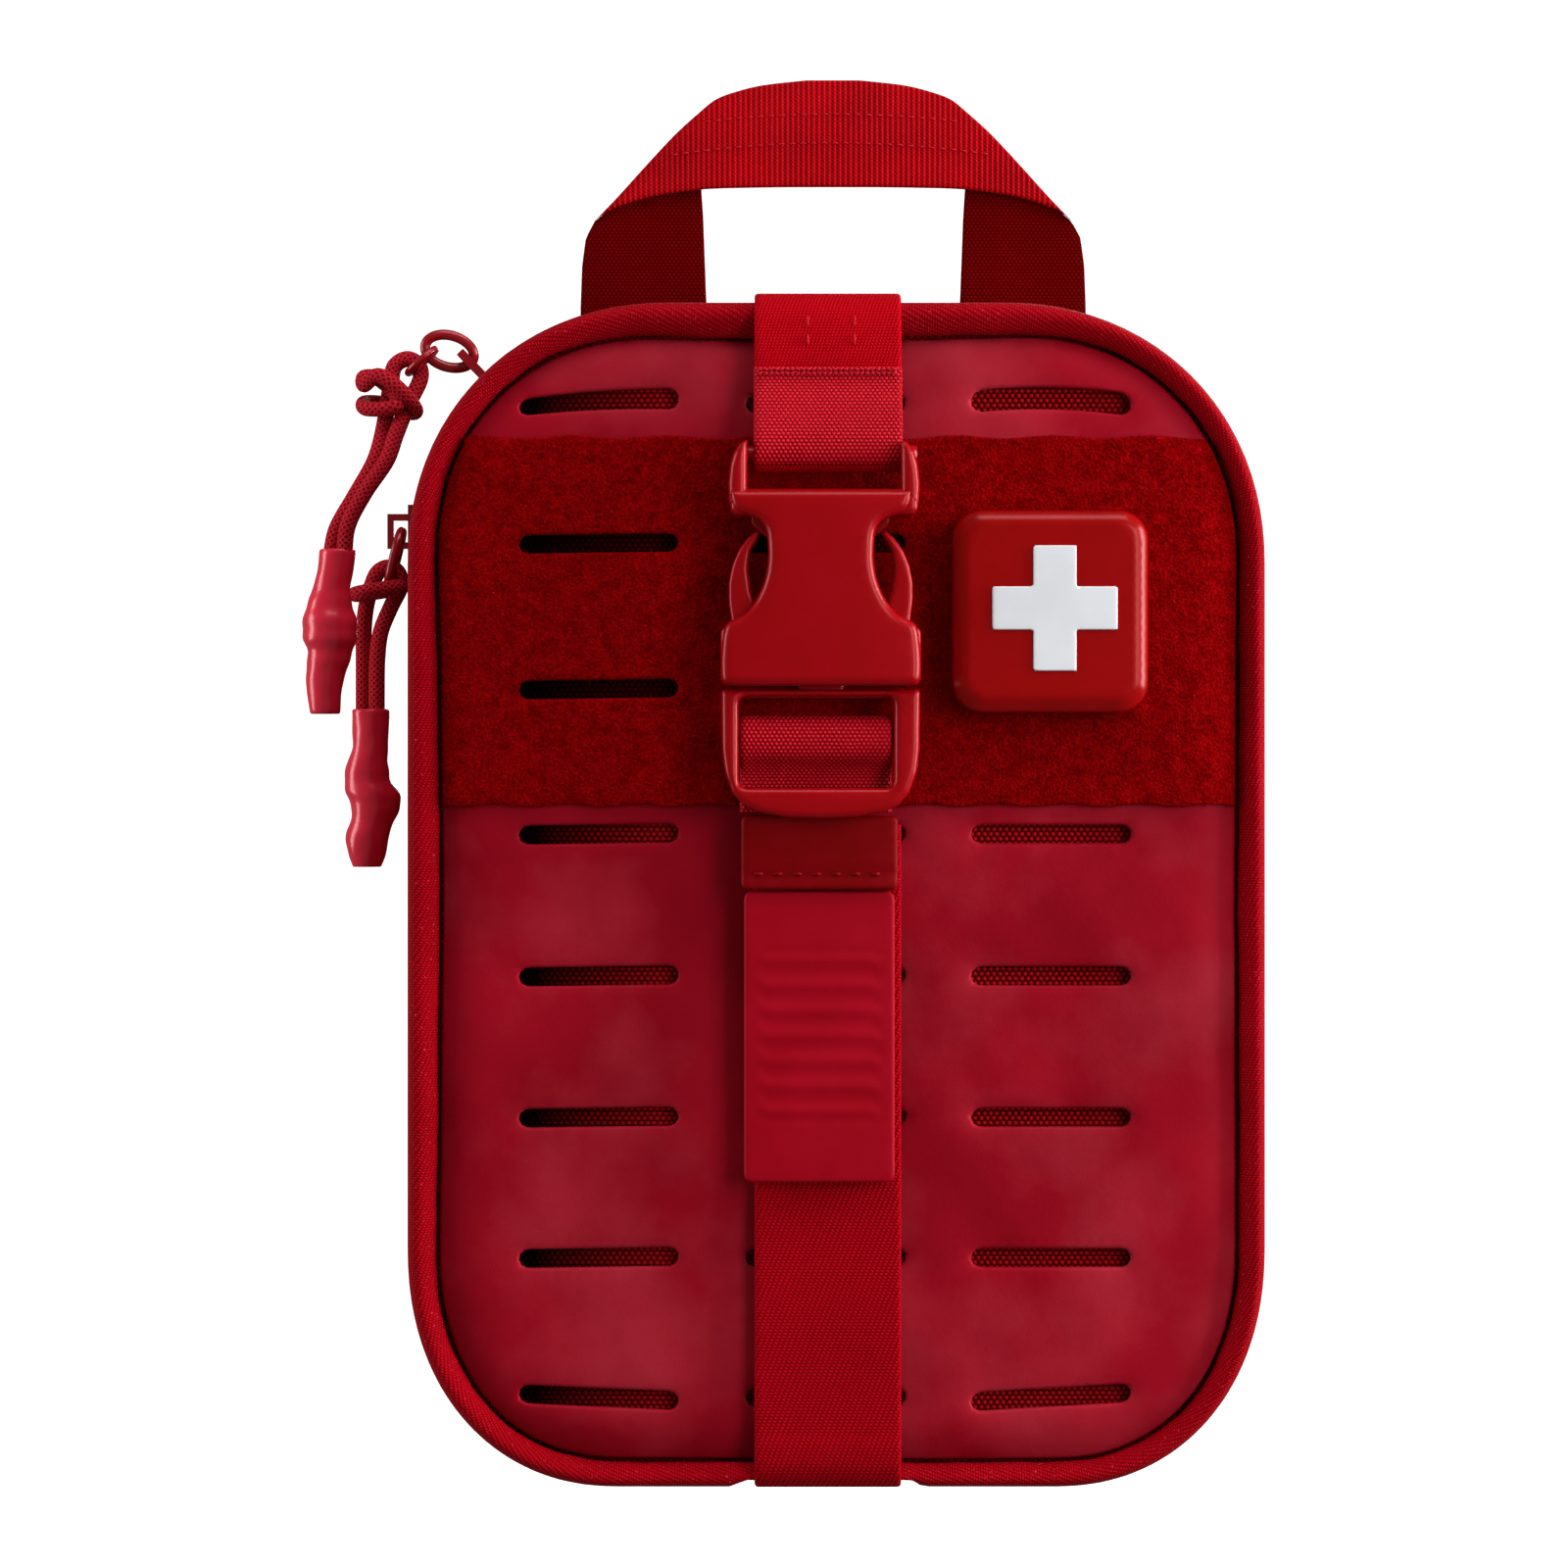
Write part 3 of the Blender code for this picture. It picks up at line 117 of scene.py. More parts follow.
def soft_light(name, place, target, size, power):
    lamp = bpy.data.lights.new(name, "AREA")
    lamp.shape = "RECTANGLE"
    lamp.size, lamp.size_y = size
    lamp.energy = power
    made = bpy.data.objects.new(name, lamp)
    made.location = place
    made.rotation_euler = (Vector(target) - Vector(place)).to_track_quat("-Z", "Y").to_euler()
    scene.collection.objects.link(made)
    return made


soft_light("left_light", (-1.2, -0.2, 0.3), (0.0, 0.0, 0.13), (0.4, 1.0), 11.0)
soft_light("right_light", (1.25, -0.25, 0.35), (0.0, 0.0, 0.13), (0.4, 1.0), 27.0)
soft_light("front_light", (0.45, -0.58, 0.26), (0.0, 0.0, 0.12), (0.3, 0.5), 3.1)
soft_light("top_light", (0.1, -0.38, 1.0), (0.0, 0.0, 0.18), (0.7, 0.4), 5.0)
soft_light("back_light", (0.5, 1.5, 0.7), (0.0, 0.05, 0.13), (1.0, 1.0), 16.0)


def linear(red, green, blue):
    """The shader colour for an everyday 0-255 colour."""
    values = [c / 255.0 for c in (red, green, blue)]
    return tuple(v / 12.92 if v <= 0.04045 else ((v + 0.055) / 1.055) ** 2.4 for v in values)


FLOOR_HEIGHT = -0.27
BOWL_SIDES = 96
bowl_side = [(0.02, FLOOR_HEIGHT), (2.0, FLOOR_HEIGHT), (4.0, FLOOR_HEIGHT)]
bowl_side += [(4.0 + 1.5 * math.sin(a), 1.23 - 1.5 * math.cos(a)) for a in np.radians(np.arange(9, 91, 9))]
bowl_side.append((5.5, 7.0))
turns = np.linspace(0.0, 2 * math.pi, BOWL_SIDES + 1)[:-1]
verts = [(r * math.cos(a), r * math.sin(a), z) for r, z in bowl_side for a in turns]
verts.append((0.0, 0.0, FLOOR_HEIGHT))
faces = [(i + k, i + (k + 1) % BOWL_SIDES, i + BOWL_SIDES + (k + 1) % BOWL_SIDES, i + BOWL_SIDES + k)
         for i in range(0, (len(bowl_side) - 1) * BOWL_SIDES, BOWL_SIDES) for k in range(BOWL_SIDES)]
faces += [(len(verts) - 1, (k + 1) % BOWL_SIDES, k) for k in range(BOWL_SIDES)]
floor_mesh = bpy.data.meshes.new("studio_floor")
floor_mesh.from_pydata(verts, [], faces)
for face in floor_mesh.polygons:
    face.use_smooth = True
floor = bpy.data.objects.new("studio_floor", floor_mesh)
scene.collection.objects.link(floor)
floor_material = bpy.data.materials.new("studio_paper")
floor_material.use_nodes = True
floor_shader = floor_material.node_tree.nodes["Principled BSDF"]
floor_shader.inputs["Base Color"].default_value = (0.93, 0.93, 0.935, 1.0)
floor_shader.inputs["Roughness"].default_value = 0.9
floor_shader.inputs["Specular IOR Level"].default_value = 0.0
floor_shader.inputs["Emission Color"].default_value = (1.0, 1.0, 1.0, 1.0)
floor_shader.inputs["Emission Strength"].default_value = 1.0
floor_mesh.materials.append(floor_material)
floor.visible_diffuse = False
floor.visible_glossy = False
floor.visible_shadow = False
print("camera at", tuple(camera.location))

# %% [markdown]
# ## Small tools for shapes
# Nearly everything here is a run of cross-sections joined up, a tube along a line, or a plate with rounded
# edges. Each tool writes its own flat coordinates in millimetres, so that a weave keeps its real size.

# %% Mesh, loft and tube tools
def mesh_object(name, verts, faces, material, uvs=None, closed=True):
    mesh = bpy.data.meshes.new(name)
    mesh.from_pydata([tuple(map(float, v)) for v in verts], [], [tuple(map(int, f)) for f in faces])
    if uvs is not None:
        layer = mesh.uv_layers.new(name="UVMap")
        flat = np.array([pair for face in uvs for pair in face], dtype=np.float32)
        layer.data.foreach_set("uv", flat.ravel())
    if closed:
        shape = bmesh.new()
        shape.from_mesh(mesh)
        bmesh.ops.recalc_face_normals(shape, faces=shape.faces)
        shape.to_mesh(mesh)
        shape.free()
    mesh.polygons.foreach_set("use_smooth", [True] * len(mesh.polygons))
    mesh.materials.append(material)
    made = bpy.data.objects.new(name, mesh)
    scene.collection.objects.link(made)
    return made


def loft(name, rings, material, wrap=False, caps=True):
    """Join equal closed cross-sections. rings is an array of sections by points by 3, in metres."""
    rings = np.asarray(rings, dtype=float)
    count, width = rings.shape[:2]
    around = np.linalg.norm(np.roll(rings, -1, axis=1) - rings, axis=2).mean(axis=0) * 1000.0
    u = np.concatenate([[0.0], np.cumsum(around)])
    steps = np.linalg.norm(np.roll(rings, -1, axis=0) - rings, axis=2).mean(axis=1) * 1000.0
    v = np.concatenate([[0.0], np.cumsum(steps)])
    faces, uvs = [], []
    for i in range(count if wrap else count - 1):
        j = (i + 1) % count
        for k in range(width):
            m = (k + 1) % width
            faces.append((i * width + k, i * width + m, j * width + m, j * width + k))
            uvs.append(((u[k], v[i]), (u[k + 1], v[i]), (u[k + 1], v[i + 1]), (u[k], v[i + 1])))
    if caps and not wrap:
        for start in (0, (count - 1) * width):
            faces.append(tuple(range(start, start + width)))
            uvs.append(tuple((u[k], v[0]) for k in range(width)))
    return mesh_object(name, rings.reshape(-1, 3), faces, material, uvs)


def smooth_line(points, steps, closed=False):
    """A smooth run through points given in millimetres."""
    points = [np.array(p, dtype=float) for p in points]
    if closed:
        ends = [points[-1]] + points + [points[0], points[1]]
    else:
        ends = [points[0] * 2 - points[1]] + points + [points[-1] * 2 - points[-2]]
    made = []
    for i in range(1, len(ends) - 2):
        a, b, c, d = ends[i - 1:i + 3]
        for k in range(steps):
            t = k / steps
            made.append(0.5 * (2 * b + (c - a) * t + (2 * a - 5 * b + 4 * c - d) * t * t
                               + (3 * b - a - 3 * c + d) * t ** 3))
    if not closed:
        made.append(points[-1])
    return np.array(made)


def even_line(points, spacing, closed=False):
    """The same line with equal steps."""
    points = np.asarray(points, dtype=float)
    if closed:
        points = np.vstack([points, points[:1]])
    lengths = np.linalg.norm(np.diff(points, axis=0), axis=1)
    at = np.concatenate([[0.0], np.cumsum(lengths)])
    count = max(3, int(round(at[-1] / spacing)))
    wanted = np.linspace(0.0, at[-1], count + 1)
    if closed:
        wanted = wanted[:-1]
    return np.stack([np.interp(wanted, at, points[:, k]) for k in range(points.shape[1])], axis=1)


def tube(name, points, radius, material, sides=20, closed=False, squeeze=1.0):
    """A round tube along a line in millimetres, with frames carried along so that it never twists."""
    points = np.asarray(points, dtype=float)
    if closed:
        tangent = np.roll(points, -1, axis=0) - np.roll(points, 1, axis=0)
    else:
        tangent = np.gradient(points, axis=0)
    tangent /= np.linalg.norm(tangent, axis=1)[:, None]
    side = np.cross(tangent[0], (0.0, 1.0, 0.0))
    if np.linalg.norm(side) < 0.1:
        side = np.cross(tangent[0], (0.0, 0.0, 1.0))
    rings = []
    radii = np.broadcast_to(radius, (len(points),))
    angles = np.linspace(0.0, 2 * math.pi, sides, endpoint=False)
    for here, along, r in zip(points, tangent, radii):
        side = side - along * side.dot(along)
        side /= np.linalg.norm(side)
        other = np.cross(along, side)
        rings.append(here + r * (np.cos(angles)[:, None] * side
                                 + squeeze * np.sin(angles)[:, None] * other))
    return loft(name, np.array(rings) * MM, material, wrap=closed)


def ripple(a, b, seed=0.0):
    """A gentle irregular wave between about -1 and 1."""
    return (np.sin(a * 0.11 + b * 0.07 + seed) + np.sin(a * 0.047 - b * 0.13 + 1.7 * seed)
            + 0.6 * np.sin(a * 0.29 + b * 0.21 + 2.3 * seed)
            + 0.4 * np.sin(a * 0.53 - b * 0.47 + seed)) / 3.0


print("tools ready")

# %% [markdown]
# A plate is drawn as an outline with holes, filled with small triangles, and its front is lowered near
# every edge by a quarter circle. The same tool makes the panel, the buckle mouldings, the badge and the
# flat straps.

# %% Plate tool
def inside(points, loops):
    """Which points lie inside the outline and outside the holes."""
    found = np.zeros(len(points), dtype=bool)
    x, z = points[:, 0], points[:, 1]
    for loop in loops:
        ax, az = loop[:, 0], loop[:, 1]
        bx, bz = np.roll(ax, -1), np.roll(az, -1)
        for i in range(len(loop)):
            if az[i] == bz[i]:
                continue
            crosses = (az[i] > z) != (bz[i] > z)
            found ^= crosses & (x < (bx[i] - ax[i]) * (z - az[i]) / (bz[i] - az[i]) + ax[i])
    return found


def edge_distance(points, loops):
    """How far each point is from the nearest edge."""
    best = np.full(len(points), 1e9)
    for loop in loops:
        a = loop
        b = np.roll(loop, -1, axis=0)
        for start, end in zip(a, b):
            along = end - start
            length = along.dot(along)
            if length < 1e-12:
                continue
            t = np.clip(((points - start) @ along) / length, 0.0, 1.0)
            gap = points - start - t[:, None] * along
            best = np.minimum(best, np.einsum("ij,ij->i", gap, gap))
    return np.sqrt(best)


def plate(name, outline, back, front, round_by, material, holes=(), grid=1.5, crown=None, back_round=None):
    """A plate in the plane of the front, all in millimetres. crown(points, distance) gives extra depth."""
    back_round = round_by if back_round is None else back_round
    loops = [even_line(np.array(loop, dtype=float), grid * (0.8 if i == 0 else 0.55), closed=True)
             for i, loop in enumerate([outline, *holes])]
    bands = []
    for i, loop in enumerate(loops):
        ahead = np.roll(loop, -1, axis=0) - np.roll(loop, 1, axis=0)
        normal = np.stack([-ahead[:, 1], ahead[:, 0]], axis=1)
        normal /= np.linalg.norm(normal, axis=1)[:, None] + 1e-12
        for share in (0.1, 0.3, 0.62, 1.0):
            for sign in (1.0, -1.0):
                bands.append(loop + normal * round_by * share * sign)
    low, high = loops[0].min(axis=0), loops[0].max(axis=0)
    xs = np.arange(low[0], high[0], grid)
    zs = np.arange(low[1], high[1], grid * 0.87)
    inner = np.array([(x + (0.5 * grid if k % 2 else 0.0), z) for k, z in enumerate(zs) for x in xs])
    banded = np.vstack(bands)
    banded = banded[inside(banded, loops)]
    gaps = edge_distance(banded, loops)
    banded = banded[gaps > round_by * 0.07]
    inner = inner[inside(inner, loops)]
    inner = inner[edge_distance(inner, loops) > round_by * 1.15 + 0.1]
    points = np.vstack(loops + [banded, inner])
    edges, start = [], 0
    for loop in loops:
        count = len(loop)
        edges += [(start + k, start + (k + 1) % count) for k in range(count)]
        start += count
    result = delaunay_2d_cdt([Vector(p) for p in points], edges, [], 0, 1e-5)
    flat = np.array([tuple(p) for p in result[0]])
    tris = np.array([t for t in result[2] if len(t) == 3])
    tris = tris[inside(flat[tris].mean(axis=1), loops)]
    distance = edge_distance(flat, loops)
    near = np.clip(distance, 0.0, round_by)
    drop = round_by - np.sqrt(np.maximum(0.0, round_by ** 2 - (round_by - near) ** 2))
    near = np.clip(distance, 0.0, back_round)
    rise = (back_round - np.sqrt(np.maximum(0.0, back_round ** 2 - (back_round - near) ** 2))
            if back_round else 0.0)
    extra = crown(flat, distance) if crown else np.zeros(len(flat))
    count = len(flat)
    face_y = front + drop + extra
    rear_y = np.maximum(back - rise + extra, face_y + 0.02)
    verts = np.vstack([np.stack([flat[:, 0], face_y, flat[:, 1]], axis=1),
                       np.stack([flat[:, 0], rear_y, flat[:, 1]], axis=1)]) * MM
    faces = [tuple(t) for t in tris] + [tuple(t[::-1] + count) for t in tris]
    once = {}
    for t in tris:
        for a, b in ((t[0], t[1]), (t[1], t[2]), (t[2], t[0])):
            once[(a, b)] = once.get((a, b), 0) + 1
    faces += [(b, a, a + count, b + count) for a, b in once if (b, a) not in once]
    return mesh_object(name, verts, faces, material)


def rounded(cx, cz, width, height, radius, steps=6):
    hx, hz = width / 2 - radius, height / 2 - radius
    made = []
    for sx, sz, start in ((1, -1, -90), (1, 1, 0), (-1, 1, 90), (-1, -1, 180)):
        for i in range(steps + 1):
            a = math.radians(start + 90.0 * i / steps)
            made.append((cx + sx * hx + radius * math.cos(a), cz + sz * hz + radius * math.sin(a)))
    return made


def strip(name, path, low, high, thickness, material, across=0):
    """Webbing along a path in millimetres, with softly rounded edges. across is the axis of its width."""
    path = even_line(np.array(path, dtype=float), 0.8)
    ahead = np.gradient(path, axis=0)
    ahead /= np.linalg.norm(ahead, axis=1)[:, None]
    normal = np.stack([-ahead[:, 1], ahead[:, 0]], axis=1)
    half = thickness / 2
    profile = [(low + half * 0.3, -half * 0.7), (low + half, -half)]
    profile += [(w, -half) for w in np.linspace(low + half * 2, high - half * 2, 12)]
    profile += [(high - half, -half), (high - half * 0.3, -half * 0.7), (high, 0.0)]
    profile += [(high - half * 0.3, half * 0.7), (high - half, half)]
    profile += [(w, half) for w in np.linspace(high - half * 2, low + half * 2, 12)]
    profile += [(low + half, half), (low + half * 0.3, half * 0.7), (low, 0.0)]
    rings = []
    for (a, b), (na, nb) in zip(path, normal):
        if across == 0:
            rings.append([(w, a + na * d, b + nb * d) for w, d in profile])
        else:
            rings.append([(a + na * d, b + nb * d, w) for w, d in profile])
    return loft(name, np.array(rings) * MM, material)


def stitches(name, runs, material, radius=0.2, length=2.2, gap=0.9):
    """Rows of small thread stitches. Each run is a line in millimetres and the way its face looks."""
    verts, faces = [], []
    for line, face in runs:
        line = even_line(np.array(line, dtype=float), 0.25)
        face = np.array(face, dtype=float)
        step = max(1, int(round((length + gap) / 0.25)))
        span = max(2, int(round(length / 0.25)))
        for start in range(0, len(line) - span, step):
            a, b = line[start], line[start + span]
            along = (b - a) / np.linalg.norm(b - a)
            side = np.cross(along, face)
            base = len(verts)
            for t in (0.0, 0.18, 0.5, 0.82, 1.0):
                lift = radius * 1.3 * math.sin(math.pi * t) - radius * 0.4
                centre = a + (b - a) * t + face * lift
                r = radius * (0.55 if t in (0.0, 1.0) else 1.0)
                for k in range(6):
                    w = 2 * math.pi * k / 6
                    verts.append((centre + r * (math.cos(w) * side + math.sin(w) * face)) * MM)
            for i in range(4):
                for k in range(6):
                    m = (k + 1) % 6
                    faces.append((base + i * 6 + k, base + i * 6 + m, base + i * 6 + 6 + m,
                                  base + i * 6 + 6 + k))
            faces.append(tuple(base + k for k in range(6)))
            faces.append(tuple(base + 24 + k for k in range(6)))
    return mesh_object(name, verts, faces, material)


def dress(piece, slot_name, *nodes):
    """Let a piece stand for the named solids, riding on the body of the first."""
    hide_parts(*nodes)
    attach(piece, body_of(NODES[nodes[0]])[0])
    return piece


def join_to(piece, node):
    """Let an extra piece ride on the body that a solid belongs to."""
    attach(piece, body_of(NODES[node])[0])
    return piece


print("plate, strip and stitch tools ready")

# %% [markdown]
# ## Materials
# Each cloth is a small repeat worked out from its own measurements: every yarn crossing is a little bump,
# so light breaks into dots across it. Plastics get a fine grain and slight wear, metal a smoother coat.

# %% Material tools
class Finish:
    def __init__(self, name, rough, specular=0.1, sheen=0.0, coat=0.0, tint=(1.0, 1.0, 1.0)):
        self.material = bpy.data.materials.new(name)
        self.material.use_nodes = True
        self.tree = self.material.node_tree
        self.shader = self.tree.nodes["Principled BSDF"]
        self.shader.inputs["Roughness"].default_value = rough
        self.shader.inputs["Specular IOR Level"].default_value = specular
        self.shader.inputs["Specular Tint"].default_value = (*tint, 1.0)
        self.shader.inputs["Sheen Weight"].default_value = sheen
        self.shader.inputs["Sheen Roughness"].default_value = 0.45
        self.shader.inputs["Coat Weight"].default_value = coat
        self.shader.inputs["Coat Roughness"].default_value = 0.18
        self.coordinates = self.tree.nodes.new("ShaderNodeTexCoord")

    def math(self, operation, a, b=0.0, c=0.0):
        node = self.tree.nodes.new("ShaderNodeMath")
        node.operation = operation
        for socket, value in zip(node.inputs, (a, b, c)):
            if isinstance(value, (int, float)):
                socket.default_value = value
            else:
                self.tree.links.new(value, socket)
        return node.outputs[0]

    def split(self, kind):
        """The three coordinates in millimetres, from the surface itself or from the object."""
        node = self.tree.nodes.new("ShaderNodeSeparateXYZ")
        self.tree.links.new(self.coordinates.outputs[kind], node.inputs[0])
        if kind == "UV":
            return node.outputs[0], node.outputs[1], node.outputs[2]
        return tuple(self.math("MULTIPLY", out, 1000.0) for out in node.outputs)

    def noise(self, size, detail=3.0, kind="Object"):
        """Soft blotches of about this size in millimetres."""
        node = self.tree.nodes.new("ShaderNodeTexNoise")
        node.inputs["Scale"].default_value = (1.0 if kind == "UV" else 1000.0) / size
        node.inputs["Detail"].default_value = detail
        self.tree.links.new(self.coordinates.outputs[kind], node.inputs["Vector"])
        return node.outputs[0]

    def ramp(self, value, stops):
        node = self.tree.nodes.new("ShaderNodeValToRGB")
        while len(node.color_ramp.elements) < len(stops):
            node.color_ramp.elements.new(0.5)
        for element, (place, colour) in zip(node.color_ramp.elements, stops):
            element.position = place
            element.color = (*colour, 1.0)
        self.tree.links.new(value, node.inputs[0])
        return node.outputs[0]

    def mix(self, share, a, b):
        node = self.tree.nodes.new("ShaderNodeMix")
        node.data_type = "RGBA"
        for socket, value in ((node.inputs["Factor"], share), (node.inputs[6], a), (node.inputs[7], b)):
            if isinstance(value, (int, float)):
                socket.default_value = value
            elif isinstance(value, tuple):
                socket.default_value = (*value, 1.0)
            else:
                self.tree.links.new(value, socket)
        return node.outputs[2]

    def weave(self, u, v, pu, pv, shift=0.5):
        """Little raised dots, each row shifted along from the one before."""
        row = self.math("FLOOR", self.math("DIVIDE", v, pv))
        place = self.math("ADD", self.math("DIVIDE", u, pu), self.math("MULTIPLY", row, shift))
        wave = self.math("SINE", self.math("MULTIPLY", place, 2 * math.pi))
        wave = self.math("MULTIPLY_ADD", wave, 0.5, 0.5)
        rise = self.math("ABSOLUTE", self.math("SINE", self.math("MULTIPLY", v, math.pi / pv)))
        return self.math("MULTIPLY", wave, rise)

    def colour(self, value):
        if isinstance(value, tuple):
            self.shader.inputs["Base Color"].default_value = (*value, 1.0)
        else:
            self.tree.links.new(value, self.shader.inputs["Base Color"])

    def bump(self, height, depth, strength=1.0):
        """Raise the surface by the height, depth in millimetres."""
        node = self.tree.nodes.new("ShaderNodeBump")
        node.inputs["Strength"].default_value = strength
        node.inputs["Distance"].default_value = depth * MM
        self.tree.links.new(height, node.inputs["Height"])
        last = self.shader.inputs["Normal"]
        if last.is_linked:
            self.tree.links.new(last.links[0].from_socket, node.inputs["Normal"])
        self.tree.links.new(node.outputs[0], last)


def cloth(name, dark, light, pu, pv, shift=0.5, depth=0.22, rough=0.8, kind="UV", axes=(0, 1), sheen=0.0,
          speck=0.0, blotch=14.0, specular=0.08):
    """A woven cloth: dark between the yarns, light on top of them, with slow uneven shading."""
    strongest = max(linear(*light))
    made = Finish(name, rough, specular, sheen, tint=[c / strongest for c in linear(*light)])
    parts = made.split(kind)
    dots = made.weave(parts[axes[0]], parts[axes[1]], pu, pv, shift)
    slow = made.noise(blotch, 4.0, kind)
    share = made.math("MULTIPLY_ADD", made.math("SUBTRACT", slow, 0.5), 0.55, dots)
    stops = [(0.05, linear(*dark)), (0.8, linear(*light))]
    tone = made.ramp(share, stops)
    if speck:
        fine = made.noise(0.55, 1.0, kind)
        spots = made.ramp(fine, [(0.66, (0.0, 0.0, 0.0)), (0.78, (speck, speck, speck))])
        tone = made.mix(spots, tone, linear(214, 60, 74))
    made.colour(tone)
    made.bump(dots, depth)
    return made.material


def moulded(name, colour, rough, specular=0.3, coat=0.0, grain=0.02, wear=0.12, lift=(18, 12, 12)):
    """A moulded plastic or painted metal: fine grain, faint scuffs and a slow change of tone."""
    strongest = max(linear(*colour))
    made = Finish(name, rough, specular, 0.0, coat, [0.35 + 0.65 * c / strongest for c in linear(*colour)])
    slow = made.noise(9.0, 5.0)
    fine = made.noise(0.35, 2.0)
    scuff = made.ramp(made.noise(2.2, 8.0), [(0.60, (0.0, 0.0, 0.0)), (0.75, (wear, wear, wear))])
    deep = linear(*[max(0, c - 7) for c in colour])
    tone = made.ramp(slow, [(0.3, deep), (0.7, linear(*colour))])
    brighter = linear(*[min(255, c + d) for c, d in zip(colour, lift)])
    made.colour(made.mix(scuff, tone, brighter))
    made.bump(fine, grain)
    made.bump(slow, grain * 4.0)
    return made.material


print("material tools ready")

# %% [markdown]
# The outside is all one red, but each cloth and plastic has its own weave, gloss and depth of colour. Yarn
# sizes are given in millimetres. A reflection off dyed yarn takes the colour of the dye.

# %% Cloths, plastics and metals of the outside
RIM = cloth("rim_twill", (112, 0, 6), (168, 3, 22), 0.86, 0.45, 0.27, 0.14, 0.8, speck=0.55, blotch=18.0,
            specular=0.25)
SHELL = cloth("case_cloth", (96, 2, 8), (166, 10, 26), 1.0, 0.7, 0.5, 0.18, 0.85, speck=0.3)
WEB_FINE = cloth("strap_fine_weave", (136, 1, 10), (190, 4, 20), 0.62, 0.5, 0.25, 0.12, 0.7)
WEB_BOLD = cloth("strap_bold_weave", (120, 2, 10), (214, 26, 44), 0.8, 0.62, 0.5, 0.2, 0.5, specular=0.35)
WEB_TWILL = cloth("strap_twill", (122, 1, 9), (168, 4, 20), 0.9, 0.55, 0.25, 0.14, 0.7)
# The handle legs' webbing is a darker copy of the same webbing: painted shade for their inner faces.
WEB_LEG_PAINTED_SHADE = cloth("handle_inner_weave", (64, 0, 1), (104, 1, 2), 0.8, 0.6, 0.5, 0.1, 0.9, "Object", (0, 2))
WEB_FLAT = cloth("webbing_flat", (120, 2, 10), (172, 10, 26), 0.9, 0.6, 0.5, 0.16, 0.7, "Object", (0, 2))
BUCKLE = moulded("buckle_moulding", (140, 0, 10), 0.3, 0.3, 0.05, 0.006)
BADGE = moulded("badge_moulding", (136, 1, 3), 0.28, 0.3, 0.04, 0.004)
CROSS = moulded("badge_white_inlay", (206, 207, 211), 0.4, 0.4, 0.0, 0.004, 0.1, (6, 6, 6))
TAB = moulded("tab_rubber", (146, 2, 24), 0.5, 0.15, 0.0, 0.012)
SLEEVE = moulded("sleeve_rubber", (114, 0, 8), 0.5, 0.12, 0.0, 0.012)
TIP = moulded("tip_moulding", (206, 34, 58), 0.27, 0.5, 0.25, 0.01, 0.2)
METAL = moulded("painted_zip_metal", (140, 6, 20), 0.28, 0.6, 0.3, 0.006, 0.35, (60, 40, 42))
THREAD = moulded("sewing_thread", (176, 14, 32), 0.6, 0.3, 0.0, 0.03)
COIL = moulded("zip_coil", (112, 3, 12), 0.45, 0.4, 0.0, 0.01)
HOOK = cloth("hook_cloth", (40, 1, 3), (92, 3, 8), 0.9, 0.9, 0.5, 0.4, 0.9, "Object", (0, 2))


def ribbed_webbing(name, dark, light, pitch):
    """Handle webbing: clear ribs up and down with a fine weave between them."""
    made = Finish(name, 0.66, 0.12, tint=(1.0, 0.06, 0.1))
    x, y, z = made.split("Object")
    wave = made.math("SINE", made.math("MULTIPLY", x, 2 * math.pi / pitch))
    ribs = made.math("MULTIPLY_ADD", wave, 0.5, 0.5)
    fine = made.weave(z, x, 0.7, pitch / 2, 0.5)
    both = made.math("MULTIPLY_ADD", fine, 0.35, made.math("MULTIPLY", ribs, 0.65))
    slow = made.math("MULTIPLY_ADD", made.math("SUBTRACT", made.noise(11.0, 4.0), 0.5), 0.6, both)
    made.colour(made.ramp(slow, [(0.1, linear(*dark)), (0.85, linear(*light))]))
    made.bump(both, 0.28)
    return made.material


def slot_cloth(name):
    """Ribbed lining seen through the slots, with painted shade: near black at the left ends and behind the
    loop band.
    """
    made = Finish(name, 0.8, 0.1, tint=(1.0, 0.1, 0.1))
    x, y, z = made.split("Object")
    dots = made.weave(x, z, 1.1, 0.85, 0.5)
    # Painted shade: the weave's colour fades to near black towards the left and behind the loop band.
    near = made.math("MULTIPLY", made.math("ADD", x, 53.0), 1.0 / 22.0)
    near = made.math("MINIMUM", made.math("MAXIMUM", near, 0.0), 1.0)
    band = made.math("LESS_THAN", made.math("ABSOLUTE", made.math("SUBTRACT", z, 157.0)), 25.0)
    near = made.math("MULTIPLY", near, made.math("MULTIPLY_ADD", band, -0.85, 1.0))
    tone = made.ramp(dots, [(0.02, linear(74, 1, 5)), (0.8, linear(186, 18, 28))])
    made.colour(made.mix(near, (0.0008, 0.0, 0.0), tone))
    made.bump(dots, 0.3)
    return made.material


def laminate(name):
    """The rubbery face: a matt fine grain, a little sheen, slow patches of tone and pink patches of painted
    sheen.
    """
    made = Finish(name, 0.5, 0.13, tint=(1.0, 0.25, 0.35))
    slow = made.noise(34.0, 3.0)
    fine = made.noise(0.28, 3.0)
    tone = made.ramp(slow, [(0.35, linear(126, 4, 20)), (0.66, linear(143, 9, 27))])
    # Painted sheen: slow noise lifts the colour towards a pale pink in patches.
    painted_sheen = made.ramp(made.noise(27.0, 5.0), [(0.46, (0.0, 0.0, 0.0)), (0.74, (0.38, 0.38, 0.38))])
    made.colour(made.mix(painted_sheen, tone, linear(172, 54, 68)))
    made.bump(fine, 0.03)
    made.bump(made.noise(2.6, 4.0), 0.05)
    return made.material


